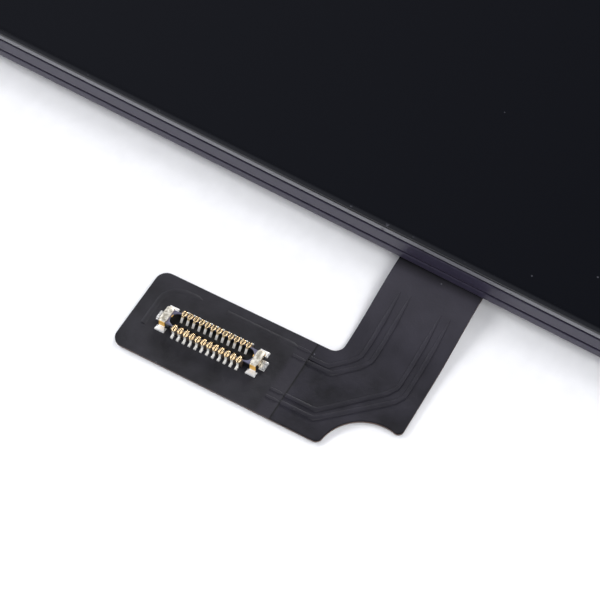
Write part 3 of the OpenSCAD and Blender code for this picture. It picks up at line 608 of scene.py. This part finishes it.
def emboss(name, paths, width, height, base, finish, fade=1):
    """Low rounded ridges along paths in the tail's frame, which die away over the last `fade` steps."""
    joined = bmesh.new()
    for path in paths:
        line = bpy.data.curves.new(name, "CURVE")
        line.dimensions = "3D"
        line.bevel_depth, line.bevel_resolution, line.use_fill_caps = width / 2, 2, True
        points = []
        for one, two in zip(path, path[1:]):
            steps = max(1, round((Vector(two) - Vector(one)).length / RIDGE_STEP))
            points += [Vector(one).lerp(Vector(two), i / steps) for i in range(steps)]
        points.append(Vector(path[-1]))
        for i in range(1, len(points) - 1):  # eases the corners, as the press does
            points[i] = points[i] * 0.7 + (points[i - 1] + points[i + 1]) * 0.15
        spline = line.splines.new("POLY")
        spline.points.add(len(points) - 1)
        for i, (point, place) in enumerate(zip(spline.points, points)):
            point.co = (place.x, place.y, 0, 1)
            point.radius = min(1.0, 0.25 + (len(points) - 1 - i) / fade)
        carrier = bpy.data.objects.new(name, line)
        joined.from_mesh(carrier.to_mesh())
        carrier.to_mesh_clear()
        bpy.data.objects.remove(carrier)
        bpy.data.curves.remove(line)
    bmesh.ops.remove_doubles(joined, verts=joined.verts, dist=1e-4)
    for vert in joined.verts:
        vert.co.z = vert.co.z * 2 * height / width + base + tail_height(vert.co.y)
    make_piece(joined, name, [finish], matrix=TAIL)


RIDGES = [[(5.0, 1.585), (6.07, 1.585), (7.0, 2.5), (7.3, 2.95), (7.3, 7.2)],
          [(5.0, 1.285), (6.45, 1.285), (7.55, 2.36), (7.9, 2.9), (7.9, 7.2)],
          [(5.0, -0.975), (6.8, -0.975), (9.5, 1.7), (9.8, 2.2), (9.8, 6.9)],
          [(5.0, -1.45), (6.95, -1.45), (10.05, 1.4), (10.35, 1.9), (10.35, 6.9)]]
emboss("stem_ridges", RIDGES, 0.28, 0.09, FLEX_T + FILM_T, STEM_FILM, fade=8)
LAP_LINES = [[(4.15, b), (4.97, b)] for b in (1.88, 1.31, -0.97, -1.45)]
emboss("film_lap_ridges", LAP_LINES, 0.2, 0.06, FLEX_T, COVER_FILM)
ARM_LINES = [[(-0.1, 1.9), (4.2, 1.88)],
             [(-3.6, -0.8), (-3.6, 1.2), (-3.2, 1.75), (-2.7, 1.92), (-1.6, 1.92)]]
emboss("arm_ridges", ARM_LINES, 0.3, 0.035, FLEX_T, COVER_FILM)

# %% [markdown]
# ## Board plug: body
# The body is black liquid crystal polymer, moulded round the contacts: a wide middle with two
# walls, narrower ends, and a cavity with round ends. Loops are bridged into walls, and the rim is
# rounded. Its rims are painted violet grey as a highlight beside the black hole, and the walls
# between the contacts are painted brown as the reflection of the gold.

# %% Plug body
PLUG = TAIL @ Matrix.Translation((0.12, 0, 0))
FOOT_Z, WALL_TOP_Z, FLOOR_Z = 0.29, 0.71, 0.37
PLUG_L, END_W, END_R, BLOCK_L, BLOCK_W = 5.76, 0.92, 0.2, 4.28, 1.28
CAVITY_L, CAVITY_W, CAVITY_R = 4.92, 0.80, 0.39


def cavity_polymer():
    """Moulded black polymer: a painted violet grey highlight on its rims, nearly black down in the cavity."""
    finish, tree, place = start_finish("moulded_black_polymer")
    height = add(tree, "SeparateXYZ", [place]).outputs["Z"]
    # glass fibres under the skin, 0.05 mm apart
    fibres = add(tree, "TexNoise", {"Vector": place, "Scale": per(0.05), "Detail": 3})
    # the rims, above 0.60 mm, are painted violet grey as a highlight
    rim = add(tree, "MapRange", [height, 0.60 * MM, 0.68 * MM])
    tone = add(tree, "Mix", {BY: fibres, FROM: "#3b3a4c", TO: "#6b6a80"}, data_type="RGBA")
    colour = add(tree, "Mix", {BY: rim, FROM: "#060608", TO: tone}, data_type="RGBA")
    gloss = add(tree, "MapRange", [fibres, 0, 1, 0.3, 0.45])
    return end_finish(finish, Base_Color=colour, Roughness=gloss, IOR=1.6)


POLYMER = cavity_polymer()
# the walls between the contacts are painted brown as the reflection of the gold beside them
WALL_POLYMER_PAINTED_REFLECTION = grained("wall_polymer_painted_reflection", "#1c120b", "#3a2a1c", 0.12, rough=(0.4, 0.55), IOR=1.6)
bm = bmesh.new()
# the rim is rounded by 0.022 mm, given as steps of depth below the top and of width taken off the wall
RIM = ((0.022, 0.0), (0.0065, 0.0065), (0.0, 0.022))
outer = [outline_loop(bm, PLUG_L, END_W, END_R, FOOT_Z, steps=6)]
inner = [outline_loop(bm, CAVITY_L, CAVITY_W, CAVITY_R, FLOOR_Z, steps=12)]
for drop, off in RIM:
    z = WALL_TOP_Z - drop
    outer.append(outline_loop(bm, PLUG_L - 2 * off, END_W - 2 * off, END_R - off, z, steps=6))
    inner.append(outline_loop(bm, CAVITY_L + 2 * off, CAVITY_W + 2 * off, CAVITY_R + off, z, steps=12))
bridge(bm, *outer)
bridge(bm, *inner)
close(bm, outer[0])
close(bm, inner[0])
close_level(bm, WALL_TOP_Z)
for side in (-1, 1):
    near, far = sorted((side * CAVITY_W / 2, side * BLOCK_W / 2))
    plain = set(bm.faces)
    wall = block(bm, (-BLOCK_L / 2, near, FOOT_Z), (BLOCK_L / 2, far, WALL_TOP_Z))
    soften(bm, edges_of(wall), 0.03, 2)
    refinish(bm, plain, 1)
make_piece(bm, "plug_body_moulded", [POLYMER, WALL_POLYMER_PAINTED_REFLECTION], ["plug_housing"], matrix=PLUG)

# %% [markdown]
# ## Board plug: contacts
# Each contact is one strip of phosphor bronze, bent in a press: a flat foot, a leg, an arch over
# the wall and a leg that slants down into the cavity. It is plated with gold, and the solder has
# wetted its foot and legs white. One strip is made by extruding and spinning its end. Its arch is
# widened and coined, its edges are rounded, and it is copied along the row.

# %% Contacts
def plated(name):
    """Gold on the arch and tin-wetted plating on the legs and foot, by height above the table."""
    finish, tree, place = start_finish(name)
    height = add(tree, "SeparateXYZ", [place]).outputs["Z"]
    # the wetting line wanders by 0.03 mm, and the plating is mottled at 0.06 mm
    spots = add(tree, "TexNoise", {"Vector": place, "Scale": per(0.06), "Detail": 3})
    arch = add(tree, "MapRange", [wavering(tree, height, spots), 0.63 * MM, 0.69 * MM])
    tin = add(tree, "Mix", {BY: spots, FROM: "#dcdad2", TO: "#fbf9f3"}, data_type="RGBA")
    gold = add(tree, "Mix", {BY: spots, FROM: "#c99d5a", TO: "#fff0cc"}, data_type="RGBA")
    colour = add(tree, "Mix", {BY: arch, FROM: tin, TO: gold}, data_type="RGBA")
    gloss = add(tree, "MapRange", [arch, 0, 1, 0.42, 0.26])
    # a film of flux lies over the tin and scatters part of the light; the gold is bare metal
    bare = add(tree, "MapRange", [arch, 0, 1, 0.45, 1.0])
    relief = add(tree, "Bump", {"Height": spots, "Distance": 0.003 * MM, "Strength": 0.6})
    return end_finish(finish, Base_Color=colour, Roughness=gloss, Metallic=bare, Normal=relief)


PLATED = plated("gold_plated_bronze")
# The near row's inner legs, which face away from the light, and the valley between two beads are
# painted dark brown bronze as shade.
BRONZE_PAINTED_SHADE = grained("bronze_painted_shade", "#4a3420", "#6b4c2c", 0.1, rough=(0.3, 0.45), bump=0.003, Metallic=1.0)
CONTACT_COUNT, CONTACT_PITCH, CONTACT_W, CONTACT_T, ARCH_W = 12, 0.35, 0.125, 0.06, 0.30
LEG_OUT, LEG_IN, FOOT_END, ARCH_Z, LEG_SLANT = 0.64, 0.33, 0.89, 0.65, 53
COIN_CUTS, COIN_DEPTH = 12, 0.7
TOE_L, FOOT_BEND, ARCH_BEND = 0.02, 0.05, 0.06
# the arch starts to widen so far above its bend and so far from its inner leg, and over such a run
SWELL_Z, SWELL_RUN_Z, SWELL_B, SWELL_RUN_B = 0.035, 0.04, 0.01, 0.035
INNER_LEG, VALLEY = 1, 2  # the places of their finishes in the list of a row


def contact_strip(bm):
    """One contact of the far row at a = 0, from the toe of its foot to the end of its inner leg."""
    toe = block(bm, (-CONTACT_W / 2, FOOT_END - TOE_L, FOOT_Z), (CONTACT_W / 2, FOOT_END, FOOT_Z + CONTACT_T))
    end = [f for v in toe for f in v.link_faces if f.calc_center_median().y < FOOT_END - 0.75 * TOE_L][:1]
    end = run_on(bm, end, (0, -(FOOT_END - TOE_L - LEG_OUT - CONTACT_T - FOOT_BEND), 0))
    turn = CONTACT_T + FOOT_BEND
    end = bend(bm, end, (0, LEG_OUT + turn, FOOT_Z + turn), (1, 0, 0), -90, 4)
    end = run_on(bm, end, (0, 0, ARCH_Z - FOOT_Z - CONTACT_T - FOOT_BEND))
    end = bend(bm, end, (0, LEG_OUT - ARCH_BEND, ARCH_Z), (1, 0, 0), 90, 6)
    end = run_on(bm, end, (0, -(LEG_OUT - LEG_IN - 2 * ARCH_BEND), 0))
    end = bend(bm, end, (0, LEG_IN + ARCH_BEND, ARCH_Z), (1, 0, 0), LEG_SLANT, 5)
    slant = math.radians(LEG_SLANT)
    drop = ARCH_Z + (ARCH_BEND + CONTACT_T / 2) * math.cos(slant) - FLOOR_Z - CONTACT_T / 2
    run = drop / math.sin(slant)
    run_on(bm, end, (0, -run * math.cos(slant), -run * math.sin(slant)))


def coin(bm):
    """Widens the arch and presses it into two round beads, side by side."""
    for i in range(1, COIN_CUTS):
        cut(bm, (CONTACT_W * (i / COIN_CUTS - 0.5), 0, 0), (1, 0, 0))
    axis_y = (LEG_OUT + LEG_IN) / 2
    # faces in the valley between the beads take the painted shade, and the inner legs the row's leg finish
    for face in bm.faces:
        centre = face.calc_center_median()
        if centre.z > ARCH_Z and abs(centre.x) < CONTACT_W / COIN_CUTS:
            face.material_index = VALLEY
        elif centre.y < LEG_IN:
            face.material_index = INNER_LEG
    for vert in bm.verts:
        share = min(1, max(0, min((vert.co.z - ARCH_Z - SWELL_Z) / SWELL_RUN_Z,
                                  (vert.co.y - LEG_IN - SWELL_B) / SWELL_RUN_B)))
        across = 2 * vert.co.x / CONTACT_W
        bead = math.sqrt(max(0.0, 1 - (2 * abs(across) - 1) ** 2))
        sink = 1 - COIN_DEPTH * share * (1 - bead)
        vert.co.y = axis_y + (vert.co.y - axis_y) * sink
        vert.co.z = ARCH_Z + (vert.co.z - ARCH_Z) * sink if share else vert.co.z
        vert.co.x *= 1 + (ARCH_W / CONTACT_W - 1) * share


bm = bmesh.new()
contact_strip(bm)
bmesh.ops.recalc_face_normals(bm, faces=bm.faces)
soften(bm, [e for e in sharp_edges(bm, 60) if max(v.co.z for v in e.verts) < ARCH_Z], 0.014, 2)
coin(bm)
print("one contact: height", round(max(v.co.z for v in bm.verts), 3))
contact_mesh = to_mesh(bm, "one_contact")
CONTACT_AT = [(i - (CONTACT_COUNT - 1) / 2) * CONTACT_PITCH for i in range(CONTACT_COUNT)]
# the near row's inner legs take the painted shade, the far row's stay tin
for row, side, leg_finish in (("near", -1, BRONZE_PAINTED_SHADE), ("far", 1, PLATED)):
    bm = bmesh.new()
    for a in CONTACT_AT:
        old = set(bm.verts)
        bm.from_mesh(contact_mesh)
        new = [v for v in bm.verts if v not in old]
        bmesh.ops.scale(bm, vec=(1, side, 1), verts=new)
        bmesh.ops.translate(bm, vec=(a, 0, 0), verts=new)
    make_piece(bm, row + "_contacts_formed", [PLATED, leg_finish, BRONZE_PAINTED_SHADE],
               [row + "_contacts"], matrix=PLUG)
bpy.data.meshes.remove(contact_mesh)

# %% [markdown]
# ## Board plug: hold-downs
# A formed bracket covers each end of the plug. Its plate is satin from the press, its bends show
# gold, and its three feet are drowned in bright solder. The bracket starts as the plate, each
# leg is the plate's own side carried down and out by two bends, and the toe is pulled wider.

# %% Hold-downs
def bracket_finish(name):
    """Satin plate on top, gold down the leg, tin on the feet, by height above the table."""
    finish, tree, place = start_finish(name)
    height = add(tree, "SeparateXYZ", [place]).outputs["Z"]
    # tumbled grain of the plating, 0.05 mm, and handling marks, 0.2 mm
    spots = add(tree, "TexNoise", {"Vector": place, "Scale": per(0.05), "Detail": 3})
    marks = add(tree, "TexNoise", {"Vector": place, "Scale": per(0.2), "Detail": 2})
    worn = add(tree, "MapRange", [marks, 0.35, 0.65])
    tin = add(tree, "Mix", {BY: spots, FROM: "#eceae4", TO: "#ffffff"}, data_type="RGBA")
    satin = add(tree, "Mix", {BY: worn, FROM: "#a59e8f", TO: "#f6f1e5"}, data_type="RGBA")
    low = add(tree, "MapRange", [height, 0.38 * MM, 0.42 * MM])
    high = add(tree, "MapRange", [height, 0.745 * MM, 0.765 * MM])
    leg = add(tree, "Mix", {BY: low, FROM: tin, TO: "#e8b85f"}, data_type="RGBA")
    colour = add(tree, "Mix", {BY: high, FROM: leg, TO: satin}, data_type="RGBA")
    gloss = add(tree, "MapRange", [spots, 0, 1, 0.3, 0.55])
    relief = add(tree, "Bump", {"Height": marks, "Distance": 0.015 * MM, "Strength": 0.8})
    return end_finish(finish, Base_Color=colour, Roughness=gloss, Normal=relief, Metallic=0.6)


BRACKET = bracket_finish("satin_plated_bracket")
# flux residue scatters part of the light, so neither the tumbled plating nor the tin is a clean mirror
SOLDER = grained("bright_tin_solder", "#d4d4d2", "#f6f5f1", 0.1, rough=(0.2, 0.4), bump=0.004, Metallic=0.65)
# the end leg stays as bright as it left the rolling mill, so it mirrors the black film in front of it
ROLLED = grained("rolled_bright_bronze", "#b4a893", "#d8cfbd", 0.1, rough=(0.08, 0.16), bump=0.002,
                 Metallic=1.0)
HOLD_A, HOLD_L, HOLD_HALF, HOLD_T, HOLD_LEG_W, HOLD_FOOT_W = 2.72, 0.42, 0.53, 0.07, 0.34, 0.56
HOLD_FOOT_B, HOLD_END_A, HOLD_END_W, HOLD_FOOT_A = 0.81, 2.88, 0.54, 3.23
HOLD_BEND = 0.03
TURN_B = HOLD_HALF - HOLD_T - HOLD_BEND  # where the plate's side turns down


def side_leg(bm, side):
    """Carries the plate's side face down and out into a solder foot."""
    end = [f for f in bm.faces if side * f.calc_center_median().y > TURN_B - 1e-3 and abs(f.normal.y) > 0.9]
    end = bend(bm, end, (0, side * TURN_B, WALL_TOP_Z - HOLD_BEND), (1, 0, 0), -side * 90, 5)
    end = run_on(bm, end, (0, 0, FOOT_Z + HOLD_T + HOLD_BEND - WALL_TOP_Z + HOLD_BEND))
    end = bend(bm, end, (0, side * (HOLD_HALF + HOLD_BEND), FOOT_Z + HOLD_T + HOLD_BEND), (1, 0, 0),
               side * 90, 4)
    end = run_on(bm, end, (0, side * (HOLD_FOOT_B - HOLD_HALF - HOLD_BEND), 0))
    bmesh.ops.scale(bm, vec=(HOLD_FOOT_W / HOLD_LEG_W, 1, 1), verts=list({v for f in end for v in f.verts}),
                    space=Matrix.Translation((-HOLD_A, 0, 0)))


bm = bmesh.new()
block(bm, (HOLD_A - HOLD_LEG_W / 2, -TURN_B, WALL_TOP_Z),
      (HOLD_A + HOLD_LEG_W / 2, TURN_B, WALL_TOP_Z + HOLD_T))
bmesh.ops.recalc_face_normals(bm, faces=bm.faces)
side_leg(bm, 1)
side_leg(bm, -1)
soften(bm, sharp_edges(bm, 60), 0.012, 2)
# the plate's wide middle, its folded end, the end leg, that leg's solder and foot, and the tongue in
# the cavity; they overlap, and most of their faces are offset a little so that they share no plane
HOLD_IN, HOLD_OUT, END_HALF = HOLD_A - HOLD_L / 2, HOLD_A + HOLD_L / 2, HOLD_END_W / 2
blocks = [
    ((HOLD_IN, 0.06 - TURN_B, WALL_TOP_Z + 0.003), (HOLD_OUT, TURN_B, WALL_TOP_Z + HOLD_T + 0.001)),
    ((HOLD_END_A - 0.02, -END_HALF, 0.6), (HOLD_END_A + HOLD_T - 0.01, END_HALF, WALL_TOP_Z + 0.01)),
    ((HOLD_END_A, -END_HALF, FOOT_Z), (HOLD_END_A + HOLD_T, END_HALF, 0.62)),
    ((HOLD_END_A + 0.1, 0.02 - END_HALF, FOOT_Z + 0.03), (HOLD_FOOT_A, END_HALF - 0.02, FOOT_Z + 0.13)),
    ((HOLD_END_A, -END_HALF, FOOT_Z), (HOLD_FOOT_A, END_HALF, FOOT_Z + HOLD_T)),
    ((HOLD_IN - 0.1, 0.02, WALL_TOP_Z - 0.07), (HOLD_IN + 0.02, 0.2, WALL_TOP_Z - 0.01))]
plain = set(bm.faces)
added = [v for low, high in blocks for v in block(bm, low, high)]
for face in set(bm.faces) - plain:
    centre = face.calc_center_median()
    if centre.x > HOLD_END_A + HOLD_T + 0.001:
        face.material_index = 1
    elif centre.x > HOLD_OUT - 0.03 and centre.z < WALL_TOP_Z + 0.02:
        face.material_index = 2
soften(bm, edges_of(added), 0.018, 2)
bracket_mesh = to_mesh(bm, "one_bracket")
for hand, side in (("left", -1), ("right", 1)):
    bm = bmesh.new()
    bm.from_mesh(bracket_mesh)
    bmesh.ops.scale(bm, vec=(side, 1, 1), verts=bm.verts)
    make_piece(bm, "hold_down_" + hand + "_formed", [BRACKET, SOLDER, ROLLED],
               ["hold_down_" + hand], matrix=PLUG)
bpy.data.meshes.remove(bracket_mesh)

# %% [markdown]
# ## Board plug: solder
# Each foot stands in a pad of solder, which wets the copper below and climbs the foot's sides. A
# pad is a block whose upper face is drawn in. They all lie on the tail, so they make one piece.

# %% Solder
# where the pads start, half their width, and how far they show past a foot
PAD_IN, PAD_HALF, SIDE_PAD_IN, SIDE_PAD_HALF, END_PAD_HALF, PAD_OUT = 0.68, 0.08, 0.50, 0.29, 0.28, 0.02


def solder_mound(bm, low, high, shrink):
    """A pad of solder whose upper face is drawn in, as the melt pulls up to the foot."""
    verts = block(bm, low, high)
    centre = (Vector(low) + Vector(high)) / 2
    top = [v for v in verts if v.co.z > centre.z]
    bmesh.ops.scale(bm, vec=(1 - 2 * shrink / (high[0] - low[0]), 1 - 2 * shrink / (high[1] - low[1]), 1),
                    verts=top, space=Matrix.Translation(-centre))
    soften(bm, [e for e in edges_of(top) if all(v in top for v in e.verts)], 0.012, 2)


bm = bmesh.new()
TAIL_TOP = TAIL_Z + FLEX_T
for side in (-1, 1):
    for a in CONTACT_AT:
        near, far = sorted((side * PAD_IN, side * (FOOT_END + PAD_OUT)))
        solder_mound(bm, (a - PAD_HALF, near, TAIL_TOP), (a + PAD_HALF, far, FOOT_Z + 0.035), 0.02)
    for a in (-HOLD_A, HOLD_A):
        near, far = sorted((side * SIDE_PAD_IN, side * (HOLD_FOOT_B + PAD_OUT)))
        solder_mound(bm, (a - SIDE_PAD_HALF, near, TAIL_TOP), (a + SIDE_PAD_HALF, far, FOOT_Z + 0.04), 0.05)
for side in (-1, 1):
    near, far = sorted((side * (HOLD_END_A + 0.03), side * (HOLD_FOOT_A + PAD_OUT)))
    solder_mound(bm, (near, -END_PAD_HALF, TAIL_TOP), (far, END_PAD_HALF, FOOT_Z + 0.04), 0.04)
make_piece(bm, "solder_fillets", [SOLDER], ["solder_joints"], matrix=PLUG)

# %% [markdown]
# ## Back plate
# The back is a pan of stainless steel, pressed from sheet: a flat floor whose rim is folded up
# round the backlight. Rolling leaves a fine brushed grain along the sheet.

# %% Back plate
BRUSHED = grained("brushed_stainless_sheet", "#7d7f82", "#a3a5a8", 0.08, rough=(0.28, 0.42), bump=0.002,
                  stretch=(1, 0.04, 1), Metallic=1.0)


def module_loop(bm, inset, z):
    """Edges of the backlight module's outline, held back by inset."""
    return outline_loop(bm, MODULE_W - 2 * inset, MODULE_L - 2 * inset, MODULE_R - inset, z,
                        (0, MODULE_Y), 12)


bm = bmesh.new()
loops = [module_loop(bm, inset, z) for inset, z in (
    (0, PLATE_Z), (0, PLATE_RIM_TOP), (PLATE_RIM_T, PLATE_RIM_TOP), (PLATE_RIM_T, PLATE_Z + PLATE_T))]
bridge(bm, *loops)
for rim in (loops[0], loops[3]):
    cap = close(bm, rim)
    bmesh.ops.inset_region(bm, faces=cap, thickness=FLAT_INSET, use_even_offset=True)
soften(bm, loops[0], 0.12, 4)
soften(bm, loops[1] + loops[2], 0.03, 2)
make_piece(bm, "back_plate_pressed", [BRUSHED], ["back_plate"])

# %% [markdown]
# ## Foam cushions
# Foam pads hold the back plate off the battery. Their sides bulge a little where the foam is
# squeezed, so each pad is five outlines up its height, with the middle ones drawn wider.

# %% Foam cushions
FOAM = grained("closed_cell_foam", "#0f0f10", "#1d1d1e", 0.15, rough=(0.85, 0.98), bump=0.03)


def cushion(bm, width, length, radius, centre):
    """A foam pad: five outlines up its height, the middle ones bulged, with filled ends."""
    heights = ((0.12, 0.0), (0.03, 0.12), (0.0, 0.5), (0.03, 0.88), (0.12, 1.0))
    loops = [outline_loop(bm, width - 2 * inset, length - 2 * inset, radius, share * PLATE_Z, centre, 6)
             for inset, share in heights]
    bridge(bm, *loops)
    for rim in (loops[0], loops[-1]):
        close(bm, rim)


bm = bmesh.new()
cushion(bm, 14, 14, 1.5, (0, 0))
make_piece(bm, "centre_cushion_foam", [FOAM], ["centre_pad"])
bm = bmesh.new()
for spot in ((-29.3, -45.05), (-29.3, 46.0), (29.3, -45.05), (29.3, 46.0)):
    cushion(bm, 4, 16, 1.0, spot)
make_piece(bm, "edge_cushions_foam", [FOAM], ["edge_pads"])

# %% [markdown]
# ## Chips on the back of the flex
# The controller is a moulded package with a sharp edge and a shallow round mark at its first
# pin, left by the mould's ejector. Capacitors are fired ceramic blocks whose two ends are dipped
# in tin, and the inductors are pressed ferrite with the same ends.

# %% Chips
PACKAGE = grained("moulded_epoxy_package", "#17171a", "#232327", 0.06, rough=(0.5, 0.65), bump=0.003)
CERAMIC = grained("fired_tan_ceramic", "#8a6a43", "#a88255", 0.1, rough=(0.5, 0.65))
FERRITE = grained("pressed_grey_ferrite", "#2c2c2f", "#3f3f43", 0.12, rough=(0.55, 0.7), bump=0.004)
CHIP_X, CHIP_Y, CHIP_W, CHIP_H = 17.0, -37.7, 3.4, 0.45
MARK_R, MARK_OFF, MARK_D = 0.22, 1.2, 0.03  # the round mark, its place off the centre and its depth
bm = bmesh.new()
body = block(bm, (CHIP_X - CHIP_W / 2, CHIP_Y - CHIP_W / 2, FLEX_BACK_Z - CHIP_H),
             (CHIP_X + CHIP_W / 2, CHIP_Y + CHIP_W / 2, FLEX_BACK_Z))
soften(bm, edges_of(body), 0.05, 2)
face = min(bm.faces, key=lambda f: f.calc_center_median().z)
mark = bmesh.ops.create_circle(bm, segments=24, radius=MARK_R, matrix=Matrix.Translation(
    (CHIP_X - MARK_OFF, CHIP_Y + MARK_OFF, FLEX_BACK_Z - CHIP_H)))["verts"]
circle = edges_of(mark)
rims = list(face.edges) + circle
bmesh.ops.delete(bm, geom=[face], context="FACES_ONLY")
bmesh.ops.triangle_fill(bm, use_beauty=True, edges=rims)
bmesh.ops.translate(bm, vec=(0, 0, MARK_D), verts=mark)
close(bm, circle)
make_piece(bm, "controller_package", [PACKAGE], ["controller_ic"])


def dipped_chips(name, spots, size, share, finishes, replaces):
    """Small blocks on the flex's back, with dipped ends over a share of their length."""
    bm = bmesh.new()
    for x, y in spots:
        low = Vector((x - size[0] / 2, y - size[1] / 2, FLEX_BACK_Z - size[2]))
        high = Vector((x + size[0] / 2, y + size[1] / 2, FLEX_BACK_Z))
        block(bm, low + Vector((0.01, 0.01, 0.01)), high - Vector((0.01, 0.01, 0)))
        for start, end in ((low.x, low.x + share * size[0]), (high.x - share * size[0], high.x)):
            plain = set(bm.faces)
            soften(bm, edges_of(block(bm, (start, low.y, low.z), (end, high.y, high.z))), 0.03, 2)
            refinish(bm, plain, 1)
    make_piece(bm, name, finishes, replaces)


dipped_chips("dipped_capacitors", [(CHIP_X + side * 2.3, CHIP_Y + (i - 2) * 0.8) for i in range(5)
                                   for side in (-1, 1)],
             (0.6, 0.3, 0.3), 0.25, [CERAMIC, SOLDER], ["flex_capacitors"])
dipped_chips("dipped_inductors", [(CHIP_X, -41.6 - i * 2.2) for i in range(3)],
             (1.6, 1.2, 0.5), 0.2, [FERRITE, SOLDER], ["flex_inductors"])

# %% [markdown]
# ## Finishes of the layers inside
# The display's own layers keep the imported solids' shapes, because they are flat cut sheets. Each
# gets a finish from how it is made: stretched film, drawn glass, ridged prism film, dotted light
# guide, woven mesh. Most of them show only when the display is taken apart.

# %% Layers
WAVE_SCALE = math.tau / 20 / MM  # one cycle of the wave texture then spans one millimetre


def ribbed(name, colour, pitch, axis, bump, **sockets):
    """Film with straight ribs of a given pitch along one axis, such as prism film."""
    finish, tree, place = start_finish(name)
    ribs = add(tree, "TexWave", {"Vector": place, "Scale": WAVE_SCALE / pitch},
               bands_direction=axis).outputs[1]
    shade = add(tree, "MapRange", [ribs, 0, 1, 0.85, 1.0])
    tone = add(tree, "Mix", {BY: shade, FROM: "#000000", TO: colour}, data_type="RGBA")
    relief = add(tree, "Bump", {"Height": ribs, "Distance": bump * MM})
    return end_finish(finish, Base_Color=tone, Normal=relief, **sockets)


def woven(name, dark, light, pitch):
    """Plain weave: the threads of two wave patterns at a right angle pass over each other."""
    finish, tree, place = start_finish(name)
    warp, weft = [add(tree, "TexWave", {"Vector": place, "Scale": WAVE_SCALE / pitch},
                      bands_direction=axis).outputs[1] for axis in "XY"]
    weave = add(tree, "Math", [warp, weft], operation="MULTIPLY")
    colour = add(tree, "Mix", {BY: weave, FROM: dark, TO: light}, data_type="RGBA")
    relief = add(tree, "Bump", {"Height": weave, "Distance": 0.03 * MM})
    return end_finish(finish, Base_Color=colour, Normal=relief, Roughness=0.6)


def dotted(name, base, dots, pitch, **sockets):
    """Sheet with a print of fine dots, as a light guide has on its back."""
    finish, tree, place = start_finish(name)
    cells = add(tree, "TexVoronoi", {"Vector": place, "Scale": per(pitch), "Randomness": 0.3})
    spot = add(tree, "MapRange", [cells, 0.22, 0.26])
    colour = add(tree, "Mix", {BY: spot, FROM: dots, TO: base}, data_type="RGBA")
    return end_finish(finish, Base_Color=colour, **sockets)


STRETCHED = grained("stretched_iodine_film", "#23262b", "#2b2e34", 0.5, rough=(0.12, 0.2),
                    stretch=(1, 0.05, 1))
DRAWN = grained("drawn_panel_glass", "#b9c6c4", "#c3d0ce", 3.0, rough=(0.04, 0.08), IOR=1.52)
CLEAR_GLUE = grained("cured_clear_adhesive", "#cfd6d6", "#dbe1e1", 2.0, rough=(0.08, 0.16), IOR=1.41)
WHITE_FILM = grained("white_voided_film", "#eceded", "#f5f6f6", 0.2, rough=(0.35, 0.5))
dress("earpiece_mesh", woven("woven_acoustic_mesh", "#050506", "#26262a", 0.12))
dress("frame_adhesive", grained("cured_dark_adhesive", "#3d3c42", "#4c4b52", 0.3,
                                rough=(0.35, 0.5), bump=0.004))
dress("optical_adhesive", CLEAR_GLUE)
dress("front_polarizer", STRETCHED)
dress("rear_polarizer", STRETCHED)
dress("colour_filter_glass", ribbed("striped_filter_glass", "#9fb0ad", 0.06, "X", 0.0005,
                                    Roughness=0.08, IOR=1.52))
dress("tft_glass", DRAWN)
dress("driver_ic", grained("ground_silicon_die", "#3a3c44", "#4b4e58", 0.05, rough=(0.22, 0.34), IOR=3.4))
dress("rim_tape", grained("black_polyester_tape", "#0c0c0d", "#161617", 0.3, rough=(0.3, 0.42)))
dress("upper_prism_film", ribbed("prism_film_lengthwise", "#cdd3d6", 0.05, "X", 0.012,
                                 Roughness=0.15, IOR=1.58))
dress("lower_prism_film", ribbed("prism_film_crosswise", "#cdd3d6", 0.05, "Y", 0.012,
                                 Roughness=0.15, IOR=1.58))
dress("diffuser_film", WHITE_FILM)
dress("reflector_film", WHITE_FILM)
dress("light_guide", dotted("dotted_acrylic_guide", "#d6dedd", "#f7f8f8", 0.3, Roughness=0.1, IOR=1.49))
dress("led_flex", grained("amber_polyimide_film", "#8a4e17", "#a9662a", 0.4, rough=(0.25, 0.35), IOR=1.7))
dress("leds", grained("phosphor_filled_silicone", "#d8b24a", "#e8c866", 0.05, rough=(0.4, 0.55), bump=0.003))
dress("backlight_frame", grained("moulded_white_polycarbonate", "#dddbd4", "#e8e6e0", 0.2,
                                 rough=(0.35, 0.5), IOR=1.58))
dress("flex_adhesive", grained("tan_transfer_tape", "#a8946b", "#b9a67d", 0.2, rough=(0.5, 0.65)))
dress("plug_stiffener", BRUSHED)
dress("graphite_sheet", grained("rolled_graphite_sheet", "#333437", "#46474b", 0.25,
                                rough=(0.3, 0.45), bump=0.003, stretch=(1, 0.3, 1)))
